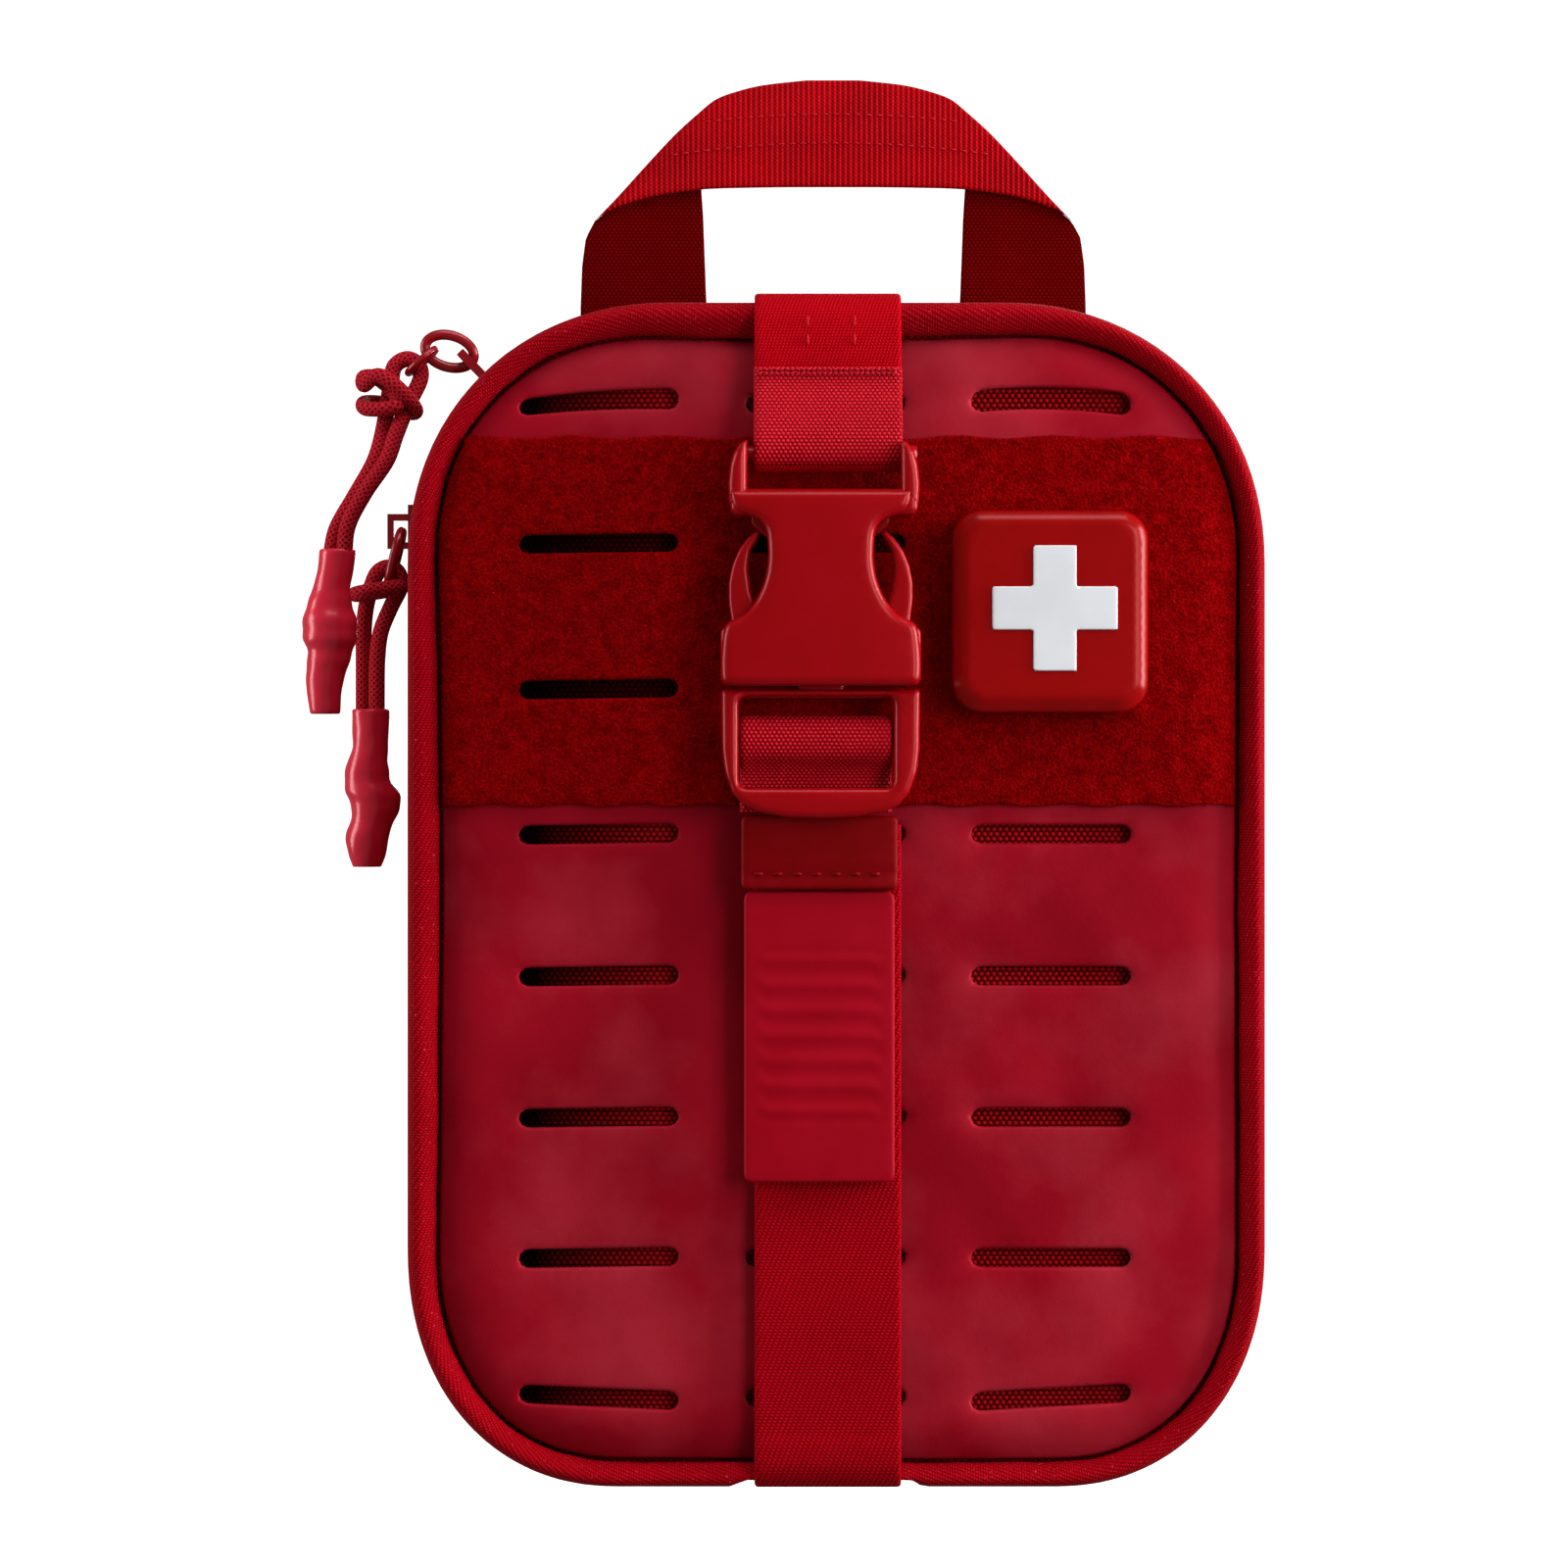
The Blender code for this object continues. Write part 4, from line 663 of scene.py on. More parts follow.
def pile(name):
    """Loop pile: a dense fuzz with dark hollows and a few fibres lit with painted glints."""
    made = Finish(name, 0.95, 0.03, tint=(1.0, 0.05, 0.05))
    fuzz = made.noise(0.5, 5.0)
    tufts = made.noise(2.4, 5.0)
    both = made.math("MULTIPLY_ADD", tufts, 0.35, made.math("MULTIPLY", fuzz, 0.7))
    tone = made.ramp(both, [(0.36, linear(86, 0, 1)), (0.56, linear(126, 1, 3)), (0.74, linear(156, 4, 9))])
    # Painted glints: a few tiny spots of the pile are lifted to a pale pink.
    painted_glints = made.ramp(made.noise(0.32, 1.0), [(0.70, (0.0, 0.0, 0.0)), (0.78, (0.6, 0.6, 0.6))])
    made.colour(made.mix(painted_glints, tone, linear(190, 40, 44)))
    made.bump(fuzz, 0.55)
    made.bump(tufts, 0.25)
    return made.material


def braid(name):
    """Braided cord sheath: two sets of flat plaits crossing round the cord."""
    made = Finish(name, 0.7, 0.1, tint=(1.0, 0.2, 0.25))
    u, v, w = made.split("UV")
    plaits = []
    for way in ("ADD", "SUBTRACT"):
        slant = made.math(way, u, made.math("MULTIPLY", v, 1.1))
        plaits.append(made.math("SINE", made.math("MULTIPLY", slant, 5.34)))
    top = made.math("MULTIPLY_ADD", made.math("MAXIMUM", *plaits), 0.5, 0.5)
    yarn = made.math("MULTIPLY_ADD", made.noise(0.4, 2.0, "UV"), 0.3, made.math("MULTIPLY", top, 0.8))
    made.colour(made.ramp(yarn, [(0.3, linear(110, 5, 16)), (0.6, linear(150, 14, 28)),
                                 (0.95, linear(184, 32, 46))]))
    made.bump(top, 0.2)
    return made.material


GRIP = ribbed_webbing("handle_ribbed_webbing", (108, 1, 6), (184, 4, 15), 0.98)
BACKING = slot_cloth("slot_backing")
LAMINATE = laminate("panel_laminate")
PILE = pile("loop_pile")
BRAID = braid("cord_braid")
print("outside finishes ready")

# %% [markdown]
# ## Cord pulls
# Each zip pull is one short piece of 3 mm braided cord, folded through the slider's link, gripped by a knot
# and closed by a soft moulded end. The cord is drawn as one line, out of the end, round the link and back.

# %% Cords, knots and moulded ends
UPPER_LINE = [
    (-89.3, -10.1, 165.2), (-88.6, -10.4, 171.0), (-85.6, -9.9, 177.0), (-81.8, -7.9, 183.0),
    (-80.2, -5.6, 188.0), (-78.4, -2.0, 193.5), (-76.2, -0.4, 198.4), (-76.5, 0.0, 201.1),
    (-78.6, 0.0, 202.3), (-80.9, 0.0, 201.0), (-81.5, -0.5, 198.2), (-82.1, -1.6, 193.8),
    (-82.9, -3.9, 188.0), (-84.3, -5.8, 182.8), (-87.6, -7.3, 176.6), (-90.9, -7.8, 170.6),
    (-92.0, -8.1, 165.2),
]
LOWER_LINE = [
    (-84.1, -1.4, 136.0), (-84.1, -1.4, 141.0), (-84.0, -1.3, 147.0), (-83.4, -0.9, 152.0),
    (-81.6, -0.3, 156.6), (-79.9, 0.0, 160.2), (-80.2, 0.0, 162.8), (-82.0, 0.0, 163.9),
    (-84.0, 0.0, 163.0), (-85.2, 0.0, 160.4), (-86.2, 0.3, 156.6), (-86.7, 0.8, 152.0),
    (-86.7, 0.9, 147.0), (-86.7, 0.9, 141.0), (-86.7, 0.9, 136.0),
]


def ring_line(centre, along, across, half_long, half_wide, count=48):
    centre, along, across = (np.array(v, dtype=float) for v in (centre, along, across))
    along /= np.linalg.norm(along)
    across /= np.linalg.norm(across)
    angles = np.linspace(0.0, 2 * math.pi, count, endpoint=False)
    return (centre + np.cos(angles)[:, None] * along * half_long
            + np.sin(angles)[:, None] * across * half_wide)


def soft_end(name, slices, y_top, y_low):
    """A moulded cord end from its left and right edge at each height, slightly lumpy."""
    slices = np.array(slices, dtype=float)
    heights = np.linspace(slices[0, 0], slices[-1, 0], 44)
    left = np.interp(-heights, -slices[:, 0], slices[:, 1])
    right = np.interp(-heights, -slices[:, 0], slices[:, 2])
    kernel = np.array([0.25, 0.5, 0.25])
    for _ in range(2):
        left[1:-1] = np.convolve(left, kernel, "valid")
        right[1:-1] = np.convolve(right, kernel, "valid")
    angles = np.linspace(0.0, 2 * math.pi, 28, endpoint=False)
    rings = []

    def ring(z, middle, half, y, share=1.0):
        lump = 1.0 + 0.012 * np.sin(3 * angles + 0.7 * z) + 0.008 * np.sin(5 * angles - z)
        return np.stack([middle + half * share * np.cos(angles) * lump,
                         y + half * 0.92 * share * np.sin(angles) * lump,
                         np.full(len(angles), z)], axis=1)

    for z, a, b in zip(heights, left, right):
        t = (heights[0] - z) / (heights[0] - heights[-1])
        fold = 0.03 * math.sin(1.6 * z) * math.sin(math.pi * min(1.0, max(0.0, (t - 0.2) / 0.65)))
        rings.append(ring(z, (a + b) / 2, (b - a) / 2 * (1.0 + fold), y_top + (y_low - y_top) * t))
    top_half, low_half = (right[0] - left[0]) / 2, (right[-1] - left[-1]) / 2
    top_mid, low_mid = (right[0] + left[0]) / 2, (right[-1] + left[-1]) / 2
    rings = [ring(heights[0] - 1.2, top_mid, top_half, y_top, 0.72),
             ring(heights[0] + 0.25, top_mid, top_half, y_top, 0.78),
             ring(heights[0] + 0.3, top_mid, top_half, y_top, 0.93)] + rings
    rings += [ring(heights[-1] - 0.35, low_mid, low_half, y_low, 0.93),
              ring(heights[-1] - 0.3, low_mid, low_half, y_low, 0.6),
              ring(heights[-1] + 1.6, low_mid, low_half, y_low, 0.5)]
    return loft(name, np.array(rings) * MM, TIP)


upper_path = even_line(smooth_line(UPPER_LINE, 12), 0.35)
lower_path = even_line(smooth_line(LOWER_LINE, 12), 0.35)
upper_cord = dress(tube("braided_upper_cord", upper_path, 1.5, BRAID, 24), "cord_braid", "upper_cord")
lower_cord = dress(tube("braided_lower_cord", lower_path, 1.5, BRAID, 24), "cord_braid", "lower_cord")
upper_knot = [
    (-86.2, -3.4, 197.2), (-83.6, -5.6, 198.8), (-80.4, -6.2, 197.0), (-77.4, -4.6, 193.8),
    (-77.0, -1.2, 192.4), (-79.4, 1.6, 192.8), (-83.2, 1.8, 194.2), (-86.4, -0.4, 194.2),
    (-86.0, -3.9, 192.9), (-83.0, -5.8, 192.6), (-80.2, -5.7, 193.2), (-80.6, -3.6, 195.6),
    (-84.0, -1.2, 198.6), (-86.4, -1.6, 198.8),
]
upper_knot = dress(tube("upper_cord_bight", smooth_line(upper_knot, 8, True), 1.4, BRAID, 18, True),
                   "cord_braid", "upper_cord_knot")
lower_knot = ring_line((-83.9, -0.2, 159.6), (1.0, 0.0, 0.16), (0.0, 1.0, 0.0), 4.3, 3.5)
lower_knot = dress(tube("lower_cord_bight", lower_knot, 1.45, BRAID, 18, True),
                   "cord_braid", "lower_cord_knot")
upper_tip = dress(soft_end("upper_cord_end", [
    (166.5, -93.9, -87.2), (163.5, -94.2, -87.6), (159.5, -95.1, -88.3), (155.6, -96.6, -87.7),
    (152.9, -97.1, -86.7), (150.3, -96.8, -87.0), (148.3, -95.9, -87.7), (146.0, -96.1, -88.4),
    (143.7, -96.4, -89.2), (141.0, -96.1, -89.7),
    (137.1, -95.6, -90.0)], -9.1, -10.4), "tip_moulding", "upper_cord_tip")
lower_tip = dress(soft_end("lower_cord_end", [
    (137.5, -88.8, -81.9), (133.9, -88.7, -81.9), (130.5, -88.5, -82.1), (128.2, -89.7, -82.2),
    (124.5, -90.3, -81.7), (121.5, -89.5, -79.3), (118.6, -88.6, -80.3), (115.9, -89.5, -81.5),
    (113.9, -90.0, -81.9), (110.5, -89.3, -82.6),
    (109.1, -88.7, -83.2)], -0.4, -0.8), "tip_moulding", "lower_cord_tip")

# %% [markdown]
# ## Rings and sliders
# The rings are bent from round wire and painted with the case. The sliders keep their solid shape and get
# their edges broken, as a casting would have.

# %% Rings, link and sliders
WIRES = (  # piece, solid, centre, along, across, half length, half width, wire radius, sides
    ("upper_wire_ring", "upper_puller_ring", (-70.8, 0.0, 203.7), (-0.96, 0.0, 0.28), (0.28, 0.0, 0.96),
     4.6, 2.9, 0.98, 16),
    ("upper_wire_link", "upper_puller_link", (-75.9, 0.0, 201.9), (-0.755, 0.0, -0.656), (0.0, 1.0, 0.0),
     3.3, 2.6, 0.72, 14),
    ("lower_wire_ring", "lower_puller_ring", (-80.8, 0.0, 165.75), (-0.245, 0.0, -0.97), (0.0, 1.0, 0.0),
     4.9, 3.0, 0.92, 16),
)
for name, node, centre, along, across, half_long, half_wide, radius, sides in WIRES:
    wire = ring_line(centre, along, across, half_long, half_wide)
    dress(tube(name, wire, radius, METAL, sides, True), "zip_metal", node)


def soften(node, width, material, segments=2, angle=35.0):
    """Keep a solid as it is, break its edges and give it a finish."""
    piece = NODES[node]
    tool = piece.modifiers.new("soft_edges", "BEVEL")
    tool.width = width * MM
    tool.segments = segments
    tool.limit_method = "ANGLE"
    tool.angle_limit = math.radians(angle)
    piece.data.materials.clear()
    piece.data.materials.append(material)
    return piece


for node in ("upper_slider", "lower_slider"):
    soften(node, 0.3, METAL)
print("rings and sliders dressed")

# %% [markdown]
# ## Case outline
# Everything round the case follows one line: flat sides, wide soft corners at the top and tighter ones at
# the base. Walls, tapes and padded rims are swept round that line, each with its own cross-section.

# %% Outline of the case
LINE_STEP = 1.6


def case_line(spacing=LINE_STEP):
    """Outline points and outward directions, in millimetres, anticlockwise from the base."""
    def quarter(cx, cz, rx, rz, power, start):
        made = []
        for i in range(25):
            angle = math.radians(start + 90.0 * i / 24)
            c, s = math.cos(angle), math.sin(angle)
            made.append((cx + rx * math.copysign(abs(c) ** (2 / power), c),
                         cz + rz * math.copysign(abs(s) ** (2 / power), s)))
        return made
    points = quarter(38.7, 42, 37, 42, 2.15, -90) + quarter(29.7, 163, 46, 46, 2.1, 0)
    points += quarter(-29.7, 163, 46, 46, 2.1, 90) + quarter(-38.7, 42, 37, 42, 2.15, 180)
    line = even_line(np.array(points), spacing, closed=True)
    ahead = np.roll(line, -1, axis=0) - np.roll(line, 1, axis=0)
    normal = np.stack([ahead[:, 1], -ahead[:, 0]], axis=1)
    normal /= np.linalg.norm(normal, axis=1)[:, None]
    return line, normal


LINE, NORMAL = case_line()
RUN = np.arange(len(LINE)) * LINE_STEP
ANGLE = np.degrees(np.arctan2(LINE[:, 1] - 104.0, LINE[:, 0])) % 360.0
RIM_WIDTHS = ([0, 30, 50, 62, 75, 90, 105, 118, 130, 150, 180, 210, 235, 270, 300, 330, 360],
              [4.8, 4.7, 4.3, 4.6, 5.8, 6.5, 6.2, 4.7, 4.3, 5.4, 5.8, 5.4, 4.8, 4.3, 4.6, 4.7, 4.8])
RIM_WIDTH = np.interp(ANGLE, *RIM_WIDTHS)


def around(section, wobble=0.0, seed=0.0, pick=None):
    """Sections round the outline. section holds (inset, depth) pairs, each a number or one per point."""
    chosen = np.arange(len(LINE)) if pick is None else pick
    rings = []
    for inset, depth in section:
        wave = wobble * ripple(RUN[chosen], np.full(len(chosen), 0.0), seed)
        inset = np.broadcast_to(inset, (len(LINE),))[chosen] - wave
        depth = np.broadcast_to(depth, (len(LINE),))[chosen]
        place = LINE[chosen] - NORMAL[chosen] * inset[:, None]
        rings.append(np.stack([place[:, 0], depth, place[:, 1]], axis=1))
    return np.stack(rings, axis=1) * MM


def strap_notch(inset, least=1.68):
    """Push an inset in under the strap at the base."""
    near = np.clip((17.0 - np.abs(LINE[:, 0] + 1.5)) / 3.0, 0.0, 1.0) * (LINE[:, 1] < 6.0)
    near = near * near * (3 - 2 * near)
    inset = np.broadcast_to(inset, (len(LINE),))
    return inset + near * np.maximum(0.0, least - inset)


def soft_rim(name, sign, node):
    w = RIM_WIDTH
    lump = 0.22 * ripple(RUN * 2.2, RUN * 0.0, 3.0 * sign)
    section = [
        (1.3, 30.3), (0.45, 31.2), (0.08, 33.2), (0.02, 36.0), (0.12, 38.2), (0.5, 40.0),
        (0.16 * w + 0.4, 41.1),
        (0.34 * w + 0.2, 41.4), (0.55 * w, 41.05), (0.74 * w, 40.35), (0.9 * w, 39.3), (w, 38.2),
        (w - 0.15, 37.5),
        (w - 0.9, 36.8), (3.0, 33.6), (2.0, 31.2),
    ]
    shaped = []
    for k, (inset, depth) in enumerate(section):
        inset = np.broadcast_to(inset, (len(LINE),)).copy()
        if 5 <= k <= 12:
            inset = inset + lump * (k - 4) / 8.0
        if sign < 0:
            inset = strap_notch(inset)
        swell = 0.15 * lump if 4 <= k <= 11 else 0.0
        shaped.append((inset, sign * (np.broadcast_to(depth, (len(LINE),)) + swell)))
    return dress(loft(name, around(shaped), RIM, wrap=True), "rim_fabric", node)


soft_rim("soft_front_rim", -1, "front_rim")
soft_rim("soft_back_rim", 1, "back_rim")
print("outline", len(LINE), "points; rims made")

# %% [markdown]
# The walls are padded cloth. Each half is one closed shell with an outside, an edge that curls in under the
# rim, a face, and the same again on the inside. The walls swell a little between the seams.

# %% Padded walls
def grow(place, share, depth):
    """The same ring drawn in towards the middle of the face."""
    middle = np.array([0.0, 0.104])
    made = place.copy()
    made[:, 0] = middle[0] + (place[:, 0] - middle[0]) * share
    made[:, 2] = middle[1] + (place[:, 2] - middle[1]) * share
    made[:, 1] = depth * MM
    return made


def wall(name, sign, node, face, inner_face):
    outer = [(6.6, face - 0.4), (3.8, face - 2.0), (2.2, 33.5), (1.4, 30.0), (1.15, 25.0), (1.05, 18.0),
             (1.2, 11.0), (1.35, 6.0)]
    inner = [(4.4, 6.0), (4.4, 20.0), (4.6, 28.0), (5.6, 32.0), (8.8, inner_face)]
    rings = [around([(inset, sign * depth)], 0.18 if 8 < depth < 33 else 0.0, 5.0)[:, 0]
             for inset, depth in outer + inner]
    first, last = rings[0], rings[-1]
    cap = [grow(first, share, sign * face) for share in (0.03, 0.3, 0.6, 0.85, 0.97)]
    end = [grow(last, share, sign * inner_face) for share in (0.97, 0.85, 0.6, 0.3, 0.03)]
    made = loft(name, np.array(cap + rings + end), SHELL)
    made.data.materials.append(LINING)
    lining_from = (len(cap) + len(outer)) * len(LINE)
    lining_to = (len(cap) + len(rings) + 4) * len(LINE) + 1
    for face_made in made.data.polygons:
        if lining_from <= face_made.index < lining_to:
            face_made.material_index = 1
    return dress(made, "shell_fabric", node)


LINING = cloth("lining_nylon", (34, 2, 4), (74, 5, 9), 0.6, 0.5, 0.5, 0.1, 0.75, "Object", (0, 2))
wall("padded_back_wall", 1, "back_shell", 38.0, 35.0)
wall("padded_front_wall", -1, "front_shell", 36.4, 35.0)
print("walls made")

# %% [markdown]
# The zip: two woven tapes with a row of nylon coil teeth on each edge, running from one side of the base
# over the top to the other side. Below it a folded gusset of the same cloth bends as the case opens.

# %% Zip tapes, teeth and gusset
def in_order(pick):
    """The picked points in their order along the line, starting after the gap."""
    gap = np.where(np.diff(pick) > 1)[0]
    return np.concatenate([pick[gap[0] + 1:], pick[:gap[0] + 1]]) if len(gap) else pick


ZIP_END = 41.0
upper_pick = in_order(np.where(LINE[:, 1] > ZIP_END)[0])
lower_pick = in_order(np.where(LINE[:, 1] <= ZIP_END + 0.8)[0])

for half, sign in (("back", 1), ("front", -1)):
    section = [(1.05, 0.35), (1.05, 6.0), (1.0, 12.0), (0.5, 12.2), (0.2, 12.0), (0.15, 6.0), (0.2, 0.6),
               (0.5, 0.3)]
    tape = loft(half + "_woven_tape", around([(a, sign * b) for a, b in section], 0.0, 0.0, upper_pick),
                SHELL)
    dress(tape, "shell_fabric", half + "_zipper_tape")
    run = even_line(LINE[upper_pick] - NORMAL[upper_pick] * 2.2, 1.45)
    ahead = np.gradient(run, axis=0)
    ahead /= np.linalg.norm(ahead, axis=1)[:, None]
    verts, faces = [], []
    for i, ((x, z), (ax, az)) in enumerate(zip(run, ahead)):
        base = len(verts)
        for y in (0.02 if i % 2 == (sign > 0) else 0.3, 0.8, 2.0, 2.4):
            r = 0.55 if y < 0.5 else (0.42 if y < 2.3 else 0.2)
            for k in range(6):
                w = 2 * math.pi * k / 6
                verts.append(((x + ax * r * math.cos(w) + az * 1.3 * r * math.sin(w)) * MM, sign * y * MM,
                              (z + az * r * math.cos(w) - ax * 1.3 * r * math.sin(w)) * MM))
        for s in range(3):
            for k in range(6):
                m = (k + 1) % 6
                faces.append((base + s * 6 + k, base + s * 6 + m, base + s * 6 + 6 + m,
                              base + s * 6 + 6 + k))
        faces.append(tuple(base + k for k in range(6)))
        faces.append(tuple(base + 18 + k for k in range(6)))
    teeth = mesh_object(half + "_coil_teeth", verts, faces, COIL)
    dress(teeth, "zip_coil", half + "_zipper_coil")

section = [(0.0, y) for y in np.linspace(-12.0, 12.0, 17)]
section += [(1.0, y) for y in np.linspace(12.0, -12.0, 17)]
gusset = loft("folded_gusset", around(section, 0.0, 0.0, lower_pick), SHELL)
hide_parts("hinge_gusset")
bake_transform(gusset, "case_back", "lid", start=(0.0, 0.009, 0.02), end=(0.0, -0.009, 0.02))
print("zip teeth per side", len(run))

# %% [markdown]
# ## Front panel
# The panel is one sheet of rubbery laminate with twenty-four cut slots. It stands slightly proud, puffs
# between the slots and curls back at its border. A woven backing shows through the slots, deeper at the
# left ends, where it is painted dark as shade; behind the loop band it is painted dark as shade too.

# %% Slots, backing and panel
COLUMNS = (-41.8, -1.9, 37.8)
ROWS = (16.0, 40.6, 65.3, 90.2, 115.2, 140.7, 166.3, 191.0)


def slot_loop(cx, cz, length=28.2, height=3.3, tilt=0.0, arch=0.0, taper=0.0):
    """A round-ended slot, which may tilt, arch, or be thinner at its left end."""
    half, end = length / 2, height / 2
    line = []
    for side in (1, -1):
        for a in np.radians(np.linspace(-90, 90, 9)):
            line.append((side * (half - end) + side * end * math.cos(a), side * end * math.sin(a)))
        line += [(side * s * (half - end), side * end) for s in (0.75, 0.5, 0.25, 0.0, -0.25, -0.5, -0.75)]
    made = []
    for x, z in line:
        t = x / half
        made.append((cx + x, cz + z * (1.0 + taper * t) + math.tan(math.radians(tilt)) * x
                     + arch * (1 - t * t)))
    return made


TILTS = (0.8, 0.4, 0.0)
ODD_SLOTS = {(0, 7): {"tilt": 3.2, "arch": 0.5, "taper": 0.12},
             (2, 7): {"tilt": -1.2, "arch": 0.9, "height": 3.9},
             (2, 0): {"tilt": 3.4}, (0, 0): {"tilt": -2.4}}
SLOTS = [slot_loop(x, z, **ODD_SLOTS.get((c, r), {"tilt": TILTS[c]}))
         for c, x in enumerate(COLUMNS) for r, z in enumerate(ROWS)]


def face_swell(points):
    """A curl back at the border with soft puffs, and the low run under the strap."""
    edge = edge_distance(points, [PANEL_LINE])
    curl = 2.0 * np.clip(1.0 - edge / 8.5, 0.0, 1.0) ** 2.2
    puff = 0.28 * ripple(points[:, 0] * 1.3, points[:, 1] * 1.3, 2.0)
    under = 0.5 * np.exp(-((points[:, 0] + 1.5) / 17.0) ** 4)
    return curl + puff, under


def panel_depth(points, distance):
    """Crown of the front face, drawn in a little round every slot."""
    swell, under = face_swell(points)
    pull = 0.3 * np.exp(-np.maximum(distance, 0.0) / 2.2)
    return swell + pull + under - 0.35


def follow(inset):
    """The outline at an inset that may change round the case, as a closed loop."""
    return LINE - NORMAL * np.broadcast_to(inset, (len(LINE),))[:, None]


PANEL_LINE = follow(RIM_WIDTH + 0.55)
panel = plate("puffed_laminate_panel", PANEL_LINE, -38.35, -39.85, 0.55, LAMINATE, holes=SLOTS, grid=2.0,
              crown=panel_depth, back_round=0.1)
dress(panel, "laminate", "slotted_panel")


def backing_depth(points, _distance):
    """The cloth behind the slots lies close at their right ends and deep at their left ends."""
    depth = np.zeros(len(points))
    for cx in COLUMNS:
        t = np.clip((points[:, 0] - (cx - 15.0)) / 30.0, 0.0, 1.0)
        here = np.abs(points[:, 0] - cx) < 19.0
        shade = 1.15 * (1.0 - t) ** 0.8 if cx < 20 else 0.55 + 0.3 * np.sin(points[:, 1] * 0.21)
        depth = np.where(here, shade, depth)
    return depth


backing = plate("woven_backing", follow(8.0), -36.55, -37.9, 0.1, BACKING, grid=2.2, crown=backing_depth)
join_to(backing, "front_shell")
print("panel with", len(SLOTS), "slots")

# %% [markdown]
# The loop band is a wide strip of soft loop pile sewn across the panel, with its own row of slots over the
# panel's. Fine fibres stand off it, so its edges look fuzzy.

# %% Loop band and its fibres
BAND_LOW, BAND_HIGH, BAND_FRONT = 120.2, 185.0, -41.3


def band_outline():
    """The band's border: the rim's line at the sides, slightly wavy cut edges above and below."""
    inset = follow(RIM_WIDTH + 0.7)
    level = (inset[:, 1] > BAND_LOW) & (inset[:, 1] < BAND_HIGH)
    right, left = inset[(inset[:, 0] > 0) & level], inset[(inset[:, 0] < 0) & level]
    right, left = right[np.argsort(right[:, 1])], left[np.argsort(-left[:, 1])]
    low = [(x, BAND_LOW + 0.25 * math.sin(x * 0.5)) for x in np.linspace(left[-1, 0], right[0, 0], 70)]
    high = [(x, BAND_HIGH + 0.3 * math.sin(x * 0.37)) for x in np.linspace(right[-1, 0], left[0, 0], 70)]
    return np.array(low + [tuple(p) for p in right] + high + [tuple(p) for p in left])


def band_depth(points, _distance):
    """Crown of the band: the panel's own swell with small tufts on it."""
    swell, under = face_swell(points)
    tuft = 0.12 * ripple(points[:, 0] * 9.0, points[:, 1] * 9.0, 4.0)
    return swell + tuft + under - 0.1


BAND_SLOTS = [slot for i, slot in enumerate(SLOTS) if i % 8 in (5, 6)]
band_line = band_outline()
band = plate("fuzzy_loop_band", band_line, -40.2, BAND_FRONT, 0.5, PILE, holes=BAND_SLOTS, grid=1.7,
             crown=band_depth, back_round=0.1)
dress(band, "loop_pile", "loop_band")
rng = np.random.default_rng(7)
low, high = band_line.min(axis=0), band_line.max(axis=0)
roots = rng.uniform(low, high, (9000, 2))
roots = roots[inside(roots, [band_line] + [np.array(s) for s in BAND_SLOTS])]
roots = roots[np.abs(roots[:, 0] + 2.0) > 12.0]
depths = BAND_FRONT + band_depth(roots, np.full(len(roots), 9.0))
verts, faces = [], []
for (x, z), y in zip(roots, depths):
    turn, lean, size = rng.uniform(0, 2 * math.pi), rng.uniform(0.3, 1.0), rng.uniform(0.35, 0.8)
    dx, dz = math.cos(turn) * size, math.sin(turn) * size
    base = len(verts)
    for t in (0.0, 0.5, 1.0):
        px, pz = x + dx * t, z + dz * t
        py = y - 0.45 * lean * math.sin(math.pi * (0.15 + 0.75 * t))
        w = 0.055 * (1.0 - 0.5 * t)
        verts += [((px - dz / size * w) * MM, py * MM, (pz + dx / size * w) * MM),
                  ((px + dz / size * w) * MM, py * MM, (pz - dx / size * w) * MM),
                  (px * MM, (py + 0.09) * MM, pz * MM)]
    for i in (0, 3):
        faces += [(base + i + k, base + i + (k + 1) % 3, base + i + 3 + (k + 1) % 3, base + i + 3 + k)
                  for k in range(3)]
    faces += [(base, base + 2, base + 1), (base + 6, base + 7, base + 8)]
join_to(mesh_object("loop_fibres", verts, faces, PILE), "loop_band")
print("fibres", len(roots))

# %% [markdown]
# ## Straps
# The straps are woven nylon. The upper one comes over the top, goes round the buckle's end bar and is sewn
# back on itself, the lower one wraps under the base, and a short tail turns over the plug's bar.

# %% Straps and their stitching
STRAP_LEFT, STRAP_RIGHT = -14.4, 11.4
strap = strip("upper_strap_main", smooth_line([
    (-13.0, 208.5), (-28.0, 208.7), (-32.5, 209.75), (-37.5, 209.95), (-40.4, 209.1), (-42.3, 207.0),
    (-43.2, 204.0), (-43.7, 200.0), (-43.7, 192.0), (-43.7, 184.0), (-43.8, 181.5), (-44.5, 179.8),
    (-46.2, 179.0), (-47.9, 179.8),
    (-48.6, 181.5)], 8), STRAP_LEFT, STRAP_RIGHT, 1.2, WEB_FINE)
dress(strap, "webbing", "upper_strap")
fold = strip("upper_strap_fold", smooth_line([
    (-47.9, 179.8), (-48.6, 181.5), (-48.3, 185.0), (-46.8, 190.0), (-45.35, 193.4),
    (-45.1, 195.4), (-45.1, 196.9)], 8), STRAP_LEFT - 0.1, STRAP_RIGHT + 0.1, 1.3, WEB_BOLD)
join_to(fold, "upper_strap")
strap = strip("lower_strap_main", smooth_line([
    (-14.0, 0.72), (-30.0, 0.72), (-38.6, 0.74), (-41.0, 1.6), (-42.4, 4.0), (-42.6, 8.0), (-42.2, 13.0),
    (-42.0, 40.0),
    (-42.0, 80.0), (-42.0, 117.0)], 8), STRAP_LEFT, STRAP_RIGHT, 1.2, WEB_TWILL)
